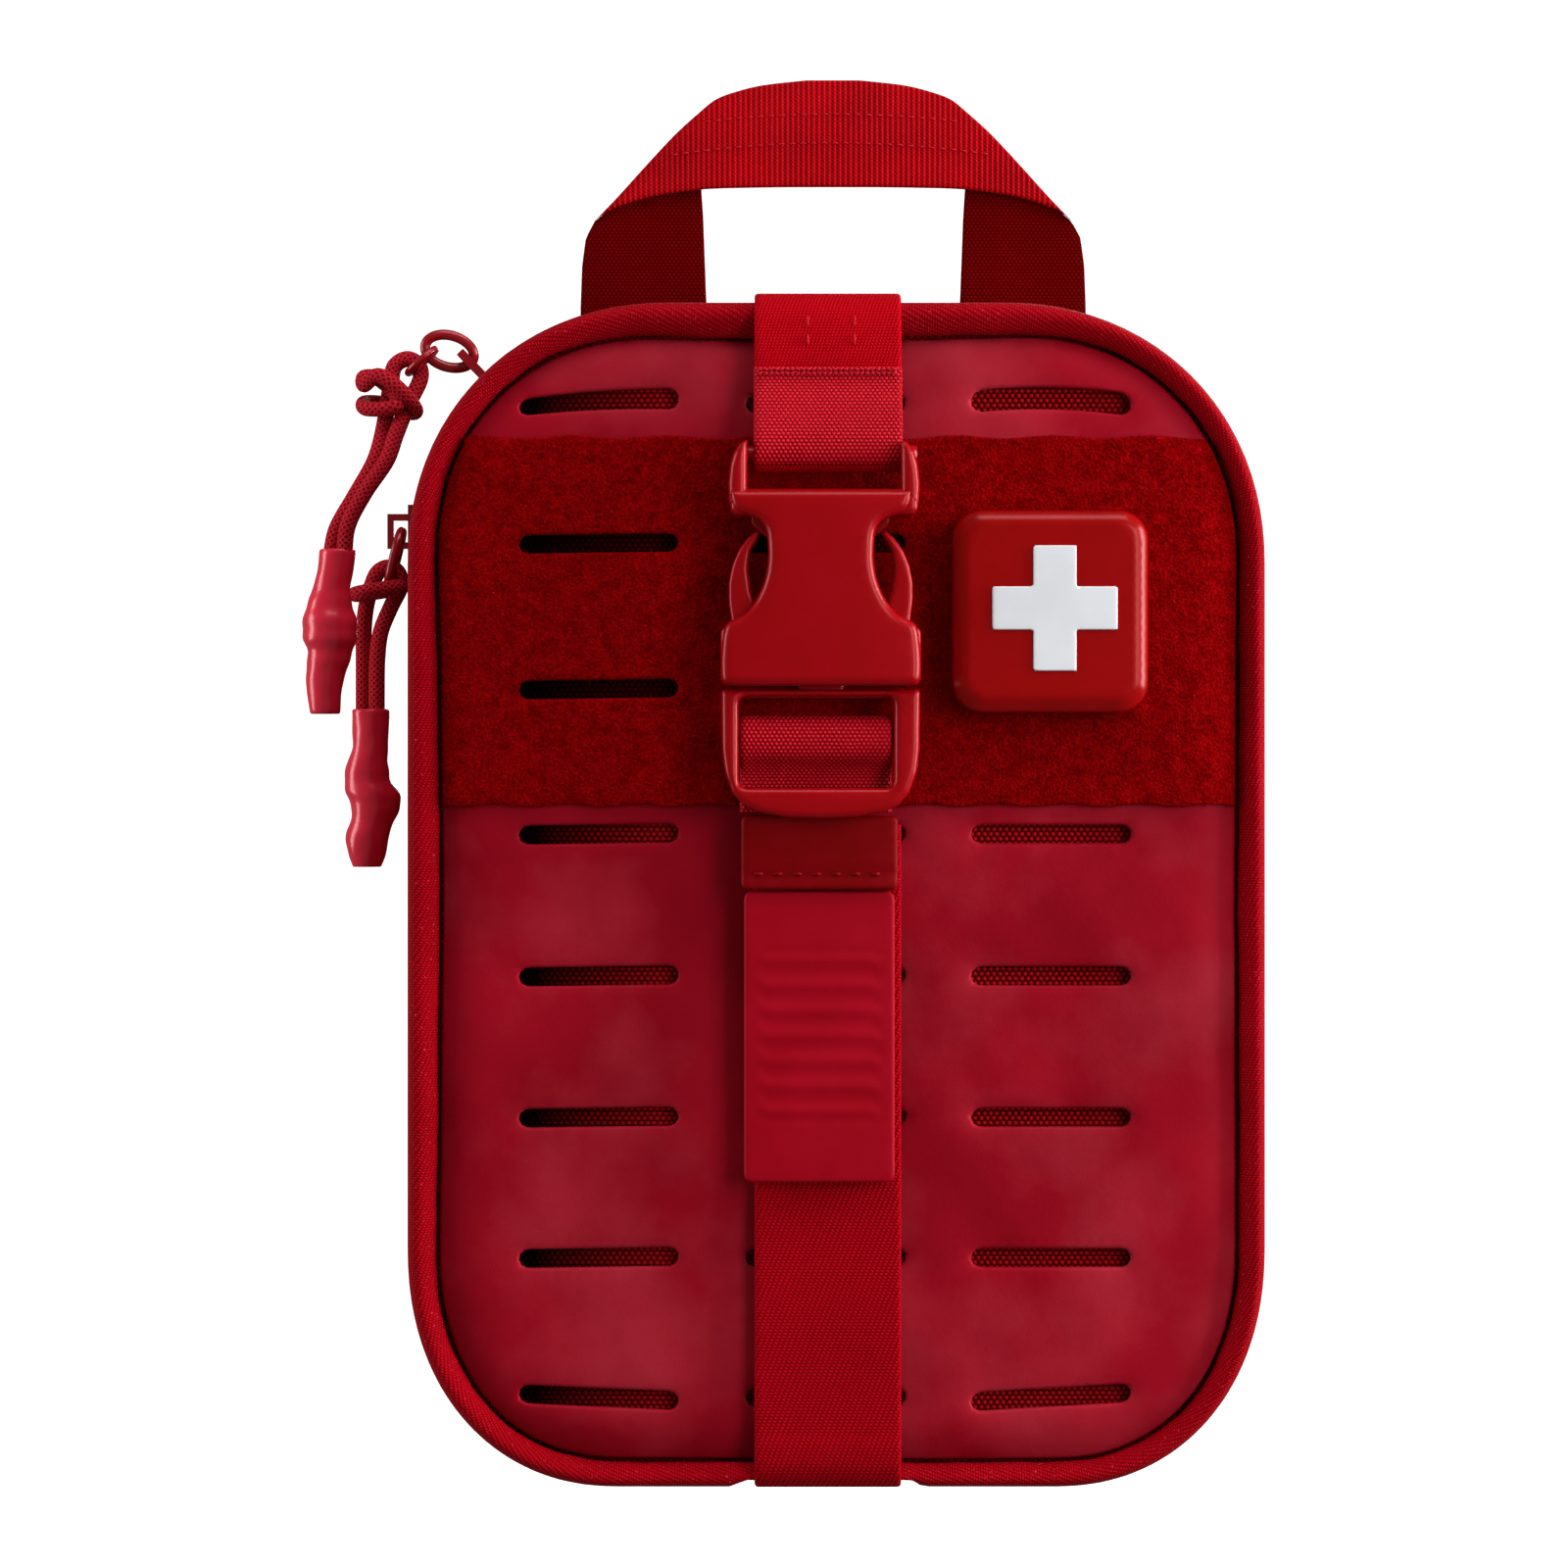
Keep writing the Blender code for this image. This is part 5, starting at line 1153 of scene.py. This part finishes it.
dress(strap, "webbing", "lower_strap")
tail = strip("strap_tail_fold", smooth_line([
    (-44.25, 119.0), (-44.3, 125.5), (-45.1, 129.0), (-45.25, 133.0), (-46.0, 134.9), (-47.45, 135.3),
    (-48.9, 134.9), (-49.65, 133.0), (-49.6, 130.8), (-48.9, 129.0), (-47.5, 127.9), (-46.3, 126.2),
    (-46.0, 123.6),
    (-46.1, 119.0)], 8), -16.9, 9.6, 1.2, WEB_BOLD)
dress(tail, "webbing", "strap_tail")
front = (0.0, -1.0, 0.0)
runs = [([(x, -44.42, 206.0), (x, -44.35, 197.8)], front) for x in (-5.0, 3.2)]
lid_thread = stitches("strap_stitches", runs, THREAD, 0.16, 1.9, 1.3)
join_to(lid_thread, "upper_strap")
zigzag = []
for row in (195.6, 196.3):
    zigzag.append(([(x, -45.82, row + 0.35 * (i % 2))
                    for i, x in enumerate(np.arange(STRAP_LEFT + 0.6, STRAP_RIGHT - 0.3, 0.9))], front))
join_to(stitches("bar_tack", zigzag, THREAD, 0.24, 0.9, 0.15), "upper_strap")
print("straps sewn")

# %% [markdown]
# ## Buckle, badge and pull tab
# Mouldings are plates with generously rounded edges. The socket has a shouldered face, a waist and two
# ears; the plug shows as a frame below it with two spring arms in the side windows.

# %% Buckle
def mirrored(half, centre):
    return [(centre + x, z) for x, z in half] + [(centre - x, z) for x, z in reversed(half)]


BUCKLE_X = -2.8
face_half = smooth_line([
    (17.3, 142.2), (17.4, 145.0), (17.2, 148.2), (16.9, 150.4), (16.3, 151.9), (15.0, 152.6),
    (13.2, 153.5), (11.3, 155.8), (9.8, 159.2), (9.2, 162.5), (9.2, 165.5), (9.5, 168.0), (10.6, 169.7),
    (13.0, 170.7),
    (14.9, 171.4), (15.7, 173.2)], 4)
face_half = [(0.0, 141.0), (15.0, 141.0), (16.8, 141.3)] + [tuple(p) for p in face_half] + [(15.9, 175.0)]
face_line = mirrored(face_half, BUCKLE_X)
socket_face = plate("socket_face", face_line, -51.0, -54.0, 1.5, BUCKLE, grid=1.1,
                    crown=lambda p, d: 0.5 * ((p[:, 0] - BUCKLE_X) / 17.0) ** 2 - 0.15)
dress(socket_face, "buckle_plastic", "buckle_socket")
back_half = [(0.0, 141.2), (17.2, 141.2), (17.2, 150.6), (12.0, 151.4), (8.6, 156.0), (8.6, 166.5),
             (12.0, 169.4), (12.5, 175.6)]
hollow = plate("socket_back", mirrored(back_half, BUCKLE_X), -43.6, -45.4, 0.4, BUCKLE, grid=1.6)
join_to(hollow, "buckle_socket")
for side in (-1, 1):
    cheek = plate("socket_cheek", rounded(BUCKLE_X + side * 15.9, 146.3, 3.0, 10.2, 1.2), -43.8, -52.6, 0.9,
                  BUCKLE, grid=1.0)
    join_to(cheek, "buckle_socket")
    ear_line = [(12.8, 172.4), (15.9, 172.4), (16.1, 176.0), (15.8, 179.2), (15.1, 181.6), (13.9, 183.3),
                (12.8, 183.7)]
    shift = 0.0 if side < 0 else 1.1
    ear_line = [(BUCKLE_X + side * (x + shift), z) for x, z in ear_line]
    ear = plate("socket_ear", ear_line if side > 0 else ear_line[::-1], -44.4, -53.2, 1.3, BUCKLE, grid=0.9)
    join_to(ear, "buckle_socket")
web_bar = plate("socket_crossbar", rounded(-2.2, 172.9, 32.6, 4.6, 1.4), -44.2, -53.2, 1.2, BUCKLE,
                grid=1.2)
join_to(web_bar, "buckle_socket")
bar = tube("socket_end_bar", even_line([(-17.0, -46.2, 181.5), (14.0, -46.2, 181.5)], 2.0), 1.6, BUCKLE, 20)
join_to(bar, "buckle_socket")
frame_half = [(0.0, 118.0), (6.0, 118.2), (10.6, 119.0), (13.4, 120.2), (15.4, 122.4), (16.7, 126.0),
              (17.2, 130.0), (17.3, 140.4)]
opening = rounded(-3.6, 131.3, 27.0, 16.0, 1.4)
plug = plate("plug_frame_moulding", mirrored(frame_half, BUCKLE_X), -47.4, -51.6, 1.2, BUCKLE,
             holes=[opening], grid=1.1, crown=lambda p, d: 0.35 * ((p[:, 0] - BUCKLE_X) / 17.0) ** 2)
dress(plug, "buckle_plastic", "plug_frame")
for low, high, x, wide, back, face in ((130.4, 133.6, BUCKLE_X, 29.0, -46.2, -48.7),
                                       (139.2, 161.0, BUCKLE_X, 8.0, -47.8, -50.2),
                                       (138.9, 141.0, BUCKLE_X, 30.0, -47.0, -48.8)):
    inner = plate("plug_inner_bar", rounded(x, (low + high) / 2, wide, high - low, 1.2), back, face, 0.5,
                  BUCKLE, grid=1.4)
    join_to(inner, "plug_frame")
ARM = [(9.7, 141.4), (13.5, 141.4), (14.7, 148.0), (15.5, 152.0), (16.0, 156.0), (16.0, 159.0),
       (15.4, 162.0), (14.2, 164.8), (12.6, 166.9), (10.9, 168.2), (10.5, 167.4), (12.3, 164.4),
       (12.7, 161.4), (12.2, 157.6),
       (10.8, 153.6), (9.9, 150.0)]
for side, sign in (("left", -1), ("right", 1)):
    line = [(BUCKLE_X + sign * x, z) for x, z in ARM]
    arm = plate(side + "_spring_arm", line if sign > 0 else line[::-1], -46.8, -51.2, 0.8, BUCKLE, grid=0.9)
    dress(arm, "buckle_plastic", "latch_arm_" + side)
print("buckle made")

# %% [markdown]
# The badge is a moulded block with a bevelled front and a white cross let into it, standing on a hook-cloth
# patch so it can be lifted off the loop band. The sleeve and tab below the buckle are rubber, the tab with
# plain grip ridges where a maker might put a name.

# %% Badge, sleeve and tab
hook = plate("badge_hook_patch", rounded(37.2, 154.2, 31.4, 32.2, 4.0), -41.9, -42.9, 0.2, HOOK, grid=2.0)
dress(hook, "hook_sheet", "badge_hook")


def badge_face(points, distance):
    """A flat face with a wide bevel, wider at the foot and the left."""
    bevel = 1.7 + 0.6 * (points[:, 1] < 140.0) + 0.5 * (points[:, 0] < 24.0)
    return 1.7 * np.clip(1.0 - distance / bevel, 0.0, 1.0)


badge = plate("badge_block_moulding", rounded(37.2, 154.1, 34.2, 35.2, 5.2, 10), -43.0, -49.9, 0.5, BADGE,
              grid=1.2, crown=badge_face, back_round=0.5)
dress(badge, "badge_red", "badge_block")
a, b = 3.75, 10.9
cross_line = []
for qx, qz in ((1, -1), (1, 1), (-1, 1), (-1, -1)):
    corners = [(a * qx, b * qz), (b * qx, a * qz)] if qx * qz < 0 else [(b * qx, a * qz), (a * qx, b * qz)]
    cross_line += [corners[0], (a * qx, a * qz), corners[1]]
cross_line = [(37.9 + x, 154.6 + z) for x, z in cross_line]
cross = plate("cross_inlay", cross_line, -49.86, -50.3, 0.22, CROSS, grid=0.9)
dress(cross, "badge_white", "badge_cross")

sleeve = plate("rubber_sleeve", rounded(-3.0, 112.0, 27.4, 12.9, 0.9), -43.7, -47.1, 0.7, SLEEVE, grid=1.2,
               crown=lambda p, d: 0.4 * np.exp(-((p[:, 1] - 108.2) / 0.8) ** 2)
               + 0.25 * ((p[:, 0] + 3.0) / 13.0) ** 2)
dress(sleeve, "webbing", "tab_sleeve")
sleeve_row = [([(x, -46.75, 108.3), (x + 1.9, -46.75, 108.3)], front) for x in np.arange(-14.5, 8.2, 3.4)]
join_to(stitches("sleeve_stitches", sleeve_row, SLEEVE, 0.34, 1.7, 0.3), "tab_sleeve")


def tab_face(points, distance):
    """A shallow raised border and plain grip ridges across the tab."""
    ridge = 0.5 + 0.5 * np.cos((points[:, 1] - 80.0) * 2 * math.pi / 4.4)
    field = np.clip((distance - 2.8) / 0.6, 0.0, 1.0)
    field = field * np.clip((15.4 - np.abs(points[:, 1] - 80.0)) / 0.6, 0.0, 1.0)
    return field * (0.12 - 0.3 * ridge ** 2) + 0.12 * ((points[:, 0] + 3.0) / 13.0) ** 2


tab = plate("rubber_pull_tab", rounded(-3.0, 79.8, 26.4, 51.0, 1.4), -43.7, -45.6, 0.6, TAB, grid=0.9,
            crown=tab_face)
dress(tab, "tab_rubber", "pull_tab")
print("badge and tab made")

# %% [markdown]
# ## Handle
# One length of webbing makes the handle: two legs sewn to the top of the back half, each folded over at
# forty-five degrees into the level grip, with two rows of stitching along it.

# %% Handle
for sign in (-1, 1):
    leg = [(23.5, 209.7), (23.7, 214.0), (24.0, 222.0), (24.3, 230.0), (24.7, 236.0), (30.0, 240.0),
           (36.0, 237.0), (41.0, 232.4),
           (44.7, 229.2), (46.3, 226.2), (47.0, 221.0), (47.3, 212.6), (47.2, 209.7)]
    if sign > 0:
        leg = leg[::-1]
    line = [(sign * x, z) for x, z in leg]
    # The legs take the darker webbing: painted shade on their inner faces.
    piece = plate("handle_leg", line, 14.65, 13.75, 0.35, WEB_LEG_PAINTED_SHADE, grid=1.6,
                  crown=lambda p, d: 0.8 * np.clip((p[:, 1] - 222.0) / 16.0, 0.0, 1.0) ** 2)
    if sign < 0:
        dress(piece, "webbing", "handle_loop")
    else:
        join_to(piece, "handle_loop")
half = smooth_line([(45.0, 228.9), (42.6, 231.4), (40.0, 234.1), (35.0, 239.6), (29.6, 245.3),
                    (25.2, 249.3), (22.0, 251.9),
                    (18.0, 253.4), (13.0, 254.6), (5.0, 255.5)], 4)
under = smooth_line([(8.0, 235.5), (16.0, 235.4), (24.7, 235.1), (33.4, 233.9), (38.5, 232.5),
                     (42.4, 231.0), (45.0, 228.9)], 4)
right = [tuple(p) for p in under[:-1]] + [tuple(p) for p in half]
grip_line = right + [(-x, z) for x, z in reversed(right)]
grip = plate("handle_grip", grip_line, 13.7, 12.2, 0.6, GRIP, grid=1.5,
             crown=lambda p, d: 0.9 * (np.abs(p[:, 0]) / 47.0) ** 3
             - 0.9 * np.clip(1.0 - np.abs(p[:, 1] - 245.0) / 11.0, 0.0, 1.0)
             * np.clip(1.0 - (p[:, 0] / 40.0) ** 2, 0.0, 1.0))
join_to(grip, "handle_loop")
rows = []
for z, half_long in ((249.0, 24.0), (243.6, 30.0)):
    xs = np.linspace(-half_long, half_long, 60)
    ys = (12.2 - 0.06 + 0.9 * (np.abs(xs) / 47.0) ** 3
          - 0.9 * (1.0 - abs(z - 245.0) / 11.0) * (1.0 - (xs / 40.0) ** 2))
    rows.append((np.stack([xs, ys, z - 0.0024 * xs * xs], axis=1), front))
join_to(stitches("handle_stitches", rows, THREAD, 0.13, 1.1, 0.9), "handle_loop")
for side, x in (("left", -34.9), ("right", 34.9)):
    rings = []
    for y in (12.3, 13.0, 20.0, 28.8, 29.6):
        ring = []
        near = (LINE[:, 1] > 150.0) & (np.abs(LINE[:, 0] - x) < 11.6)
        top, inward = LINE[near], NORMAL[near]
        lift = 0.5 if 12.5 < y < 29.2 else 0.2
        ring += [(p[0] + n[0] * lift, y, p[1] + n[1] * lift) for p, n in zip(top, inward)]
        ring += [(p[0] - n[0] * 1.0, y, p[1] - n[1] * 1.0) for p, n in zip(top[::-1], inward[::-1])]
        rings.append(ring)
    foot = loft("handle_foot_web_" + side, np.array(rings) * MM, WEB_TWILL)
    dress(foot, "webbing", "handle_foot_" + side)
print("handle made")

# %% [markdown]
# ## Inside the back half
# An organiser sheet of thin nylon carries two elastic bands. They hold a wrapped pressure bandage, a gauze
# roll, flat packets and a pair of shears. Packets are pillows: full in the middle, flat and crimped at the
# seams, with soft creases.

# %% Inside materials and the pillow tool
def paper(name, colour, rough, crease=3.0):
    made = Finish(name, rough, 0.3)
    slow = made.noise(crease, 5.0)
    # Painted shade: the colour is darkened where the same noise lowers the surface into creases.
    shade = linear(*[int(c * 0.86) for c in colour])
    made.colour(made.ramp(slow, [(0.35, shade), (0.62, linear(*colour))]))
    made.bump(slow, 0.25)
    made.bump(made.noise(0.5, 2.0), 0.02)
    return made.material


FOIL = paper("packet_film", (196, 204, 212), 0.3, 5.0)
KRAFT = paper("packet_paper", (226, 224, 216), 0.75, 2.2)
CARD = paper("guide_card_board", (232, 231, 226), 0.6, 9.0)
GAUZE = cloth("gauze_weave", (176, 172, 160), (240, 237, 228), 1.3, 1.1, 0.5, 0.3, 0.95, "UV")
ELASTIC = cloth("elastic_ribs", (16, 16, 18), (50, 50, 54), 2.6, 0.5, 0.5, 0.18, 0.9, "UV")
NET = moulded("pocket_net_yarn", (40, 40, 44), 0.8, 0.2, 0.0, 0.02, 0.05)
STEEL = moulded("brushed_steel", (168, 170, 174), 0.3, 0.6, 0.0, 0.004, 0.2)
STEEL.node_tree.nodes["Principled BSDF"].inputs["Metallic"].default_value = 0.9
SHEET = cloth("organiser_nylon", (40, 2, 4), (82, 6, 10), 0.7, 0.6, 0.5, 0.1, 0.8, "Object", (0, 2))


def pillow(name, low, high, material, seam=3.0, power=3.0, seed=0.0, dents=0.35):
    """A filled packet between two corners in millimetres: flat crimped seams round a soft bulge."""
    (x0, y0, z0), (x1, y1, z1) = low, high
    cols, rows = 34, 46
    us, vs = np.linspace(-1, 1, cols), np.linspace(-1, 1, rows)
    u, v = np.meshgrid(us, vs)
    cx, cz, hx, hz = (x0 + x1) / 2, (z0 + z1) / 2, (x1 - x0) / 2, (z1 - z0) / 2
    inner_u = np.clip(np.abs(u) * hx / max(hx - seam, 1e-3), 0, 1)
    inner_v = np.clip(np.abs(v) * hz / max(hz - seam, 1e-3), 0, 1)
    swell = ((1 - inner_u ** power) * (1 - inner_v ** power)) ** 0.6
    middle, half = (y0 + y1) / 2, (y1 - y0) / 2
    flat = 0.25
    crimp = 0.12 * np.sin(u * hx * 3.2) * (1 - np.minimum(1, swell * 8))
    dent = dents * ripple(u * hx * 4 + 3 * seed, v * hz * 4, seed) * np.minimum(1, swell * 1.5)
    front_y = middle - flat - (half - flat) * swell * (1 - 0.08) + crimp + dent
    back_y = middle + flat + (half - flat) * swell * (1 - 0.08) + crimp - 0.4 * dent
    front_y, back_y = np.maximum(front_y, y0), np.minimum(back_y, y1)
    x, z = cx + u * hx, cz + v * hz
    ring = []
    for j in range(rows):
        ring.append([(x[j, i], front_y[j, i], z[j, i]) for i in range(cols)]
                    + [(x[j, i], back_y[j, i], z[j, i]) for i in reversed(range(cols))])
    return loft(name, np.array(ring) * MM, material)


print("inside finishes ready")

# %% [markdown]
# Each packet keeps clear of the bands that hold it. The gauze roll is one long strip wound on itself, so
# its ends show the turns. The bands are ribbed elastic, sewn flat between the humps.

# %% Contents of the back half
PACKETS = (  # piece, low corner, high corner, finish, seam, fullness, seed, dents, slot, solid
    ("wrapped_bandage", (-64.6, 13.0, 100.0), (-27.4, 32.6, 178.0), FOIL, 4.0, 3.4, 1.0, 0.5,
     "wrapper", "pressure_bandage"),
    ("gauze_pad_packet", (26.0, 25.0, 102.0), (64.0, 32.4, 176.0), KRAFT, 4.0, 4.0, 2.0, 0.35,
     "paper", "gauze_packet"),
    ("dressing_pouch", (27.0, 15.2, 106.0), (63.0, 24.6, 170.0), FOIL, 4.0, 3.6, 3.0, 0.35,
     "wrapper", "dressing_packet"),
    ("folded_glove_pouch", (26.0, 15.6, 24.0), (64.0, 32.2, 94.0), FOIL, 3.0, 3.0, 4.0, 0.6,
     "wrapper", "glove_packet"),
)
soft_pieces = [dress(pillow(*shape), slot_name, node) for *shape, slot_name, node in PACKETS]
angles = np.linspace(0.0, 2 * math.pi, 60, endpoint=False)
rings = []
for t, radius in ((0.6, 2.0), (0.2, 4.0), (0.7, 6.0), (0.1, 8.0), (0.5, 9.6), (0.0, 10.2), (0.6, 10.45),
                  (2.0, 10.5), (18.0, 10.4), (36.0, 10.5), (54.0, 10.38), (70.0, 10.5), (71.4, 10.45),
                  (72.0, 10.2), (71.5, 9.6), (71.9, 8.0), (71.3, 6.0),
                  (71.8, 4.0), (71.4, 2.0)):
    soft = radius + (0.12 * np.sin(5 * angles + t) if 1 < t < 71 else 0.0)
    rings.append(np.stack([-46.0 + soft * np.cos(angles), 22.3 + soft * np.sin(angles),
                           np.full(60, 24.0 + t)], axis=1))
roll = dress(loft("wound_gauze_roll", np.array(rings) * MM, GAUZE), "gauze", "gauze_roll")
spiral = [(-46.0 + (1.2 + 0.42 * k * 0.25) * math.cos(k * 0.25 * 2 * math.pi / 6.2),
           22.3 + (1.2 + 0.42 * k * 0.25) * math.sin(k * 0.25 * 2 * math.pi / 6.2), 96.0)
           for k in range(84)]
join_to(tube("gauze_roll_turns", even_line(spiral, 0.8), 0.22, GAUZE, 6), "gauze_roll")
band_path = [(-67.9, 32.3)]
for a, b, y in ((-66.6, -25.2, 10.6), (22.2, 66.6, 12.4)):
    band_path += [(a, 32.3), (a + 0.2, y + 3.0), (a + 1.0, y + 0.9), (a + 2.6, y), ((a + b) / 2, y - 0.15),
                  (b - 2.6, y), (b - 1.0, y + 0.9), (b - 0.2, y + 3.0), (b, 32.3)]
band_path.append((67.9, 32.3))
for level, z in (("lower", 60.0), ("upper", 132.0)):
    dress(strip("ribbed_band_" + level, band_path, z, z + 20.0, 1.15, ELASTIC, across=2), "elastic",
          "elastic_band_" + level)
shears_path = [(-20.0, 32.3), (-16.0, 32.3), (-15.6, 25.2), (-13.8, 23.6), (1.8, 23.6), (3.6, 25.2),
               (4.0, 32.3), (8.0, 32.3)]
dress(strip("ribbed_shears_loop", shears_path, 91.0, 105.0, 1.15, ELASTIC, across=2), "elastic",
      "shears_loop")
sheet_line = follow(9.5)
organiser = plate("organiser_nylon_sheet", sheet_line, 34.7, 33.35, 0.3, SHEET, grid=3.0,
                  crown=lambda p, d: 0.05 * ripple(p[:, 0], p[:, 1], 6.0))
dress(organiser, "lining", "organiser_sheet")
ahead = np.roll(sheet_line, -1, axis=0)
for node, edge in (("shears_blade_fixed", 0.35), ("shears_blade_moving", 0.35), ("shears_rivet", 0.2)):
    soften(node, edge, STEEL)
print("contents of the back half made")

# %% [markdown]
# ## Inside the lid
# A net pocket is sewn to the lid with an elastic binding along its open top. It holds a packet of wound
# strips and a stiff card. The net is knitted in open diamonds, so it is built as crossing yarns with real
# holes.

# %% Lid pocket
def net_at(x):
    return float(np.interp(abs(x), [0.0, 55.0, 59.0, 62.0], [-27.6, -27.6, -30.4, -34.3]))


pitch = 2.6
columns = np.arange(-62.0, 62.01, pitch / 2)
levels = np.arange(23.0, 127.8, pitch / 2)
shape = bmesh.new()
corner_at = {}
for i, x in enumerate(columns):
    for k, z in enumerate(levels):
        if (i + k) % 2 == 0:
            corner_at[(i, k)] = shape.verts.new((x * MM, net_at(x) * MM, z * MM))
for (i, k) in list(corner_at):
    keys = [(i, k), (i + 1, k + 1), (i, k + 2), (i - 1, k + 1)]
    if all(key in corner_at for key in keys):
        shape.faces.new([corner_at[key] for key in keys])
net_mesh = bpy.data.meshes.new("knitted_net")
shape.to_mesh(net_mesh)
shape.free()
net_mesh.materials.append(NET)
net = bpy.data.objects.new("knitted_net", net_mesh)
scene.collection.objects.link(net)
yarn = net.modifiers.new("yarn", "WIREFRAME")
yarn.thickness = 0.55 * MM
yarn.use_even_offset = False
yarn.use_boundary = True
dress(net, "mesh_net", "lid_mesh_pocket")
pocket_path = [(-62.0, -34.3), (-59.0, -30.4), (-55.0, -27.6), (55.0, -27.6), (59.0, -30.4), (62.0, -34.3)]
dress(strip("pocket_binding_band", pocket_path, 128.0, 136.0, 1.25, ELASTIC, across=2), "elastic",
      "lid_pocket_binding")
strips = dress(pillow("wound_strip_pouch", (-52.0, -34.6, 24.0), (-4.0, -29.4, 104.0), KRAFT, 4.0, 4.0, 5.0,
                      0.2), "paper", "wound_strip_packet")
card = plate("rounded_guide_card", rounded(28.0, 67.0, 48.0, 90.0, 3.0), -32.6, -34.6, 0.3, CARD, grid=3.0)
dress(card, "paper", "guide_card")
print("net corners", len(corner_at))

# %% [markdown]
# ## Back of the case
# Three rows of webbing are sewn across the back and two straps run down over them, each closed with a snap.

# %% Rear webbing, straps and snaps
tacks = []
for number, z in enumerate((50.0, 102.0, 154.0), 1):
    row = plate("rear_webbing_row_%d" % number, rounded(0.0, z, 112.0, 25.4, 0.8), 39.7, 38.3, 0.5,
                WEB_FLAT, grid=2.4,
                crown=lambda p, d: np.where(d > 1.0, 0.12 * np.cos(p[:, 0] * math.pi / 19.0), 0.0) * 0.5)
    dress(row, "webbing", "rear_webbing_%d" % number)
    for x in (-54.0, -19.0, 0.0, 19.0, 54.0):
        for shift in (-0.6, 0.0, 0.6):
            tacks.append(([(x + shift, 39.66, z - 10.5), (x + shift, 39.66, z + 10.5)], (0.0, 1.0, 0.0)))
join_to(stitches("rear_bar_tacks", tacks, THREAD, 0.2, 1.0, 0.25), "rear_webbing_1")
for side, x in (("left", -30.0), ("right", 30.0)):
    flap = plate("rear_strap_web_" + side, rounded(x, 103.0, 22.0, 156.0, 2.0), 41.7, 39.95, 0.7, WEB_FLAT,
                 grid=2.4)
    dress(flap, "webbing", "rear_strap_" + side)
    rings = []
    angles = np.linspace(0.0, 2 * math.pi, 36, endpoint=False)
    for radius, y in ((0.05, 41.8), (5.3, 41.8), (5.5, 42.0), (5.5, 42.7), (5.2, 43.1), (4.3, 43.35),
                      (3.4, 43.1), (2.9, 42.9),
                      (1.6, 43.2), (0.05, 43.35)):
        rings.append(np.stack([x + radius * np.cos(angles), np.full(36, y), 36.0 + radius * np.sin(angles)],
                              axis=1))
    dress(loft("snap_dome_" + side, np.array(rings) * MM, METAL), "zip_metal", "snap_cap_" + side)
print("back made")
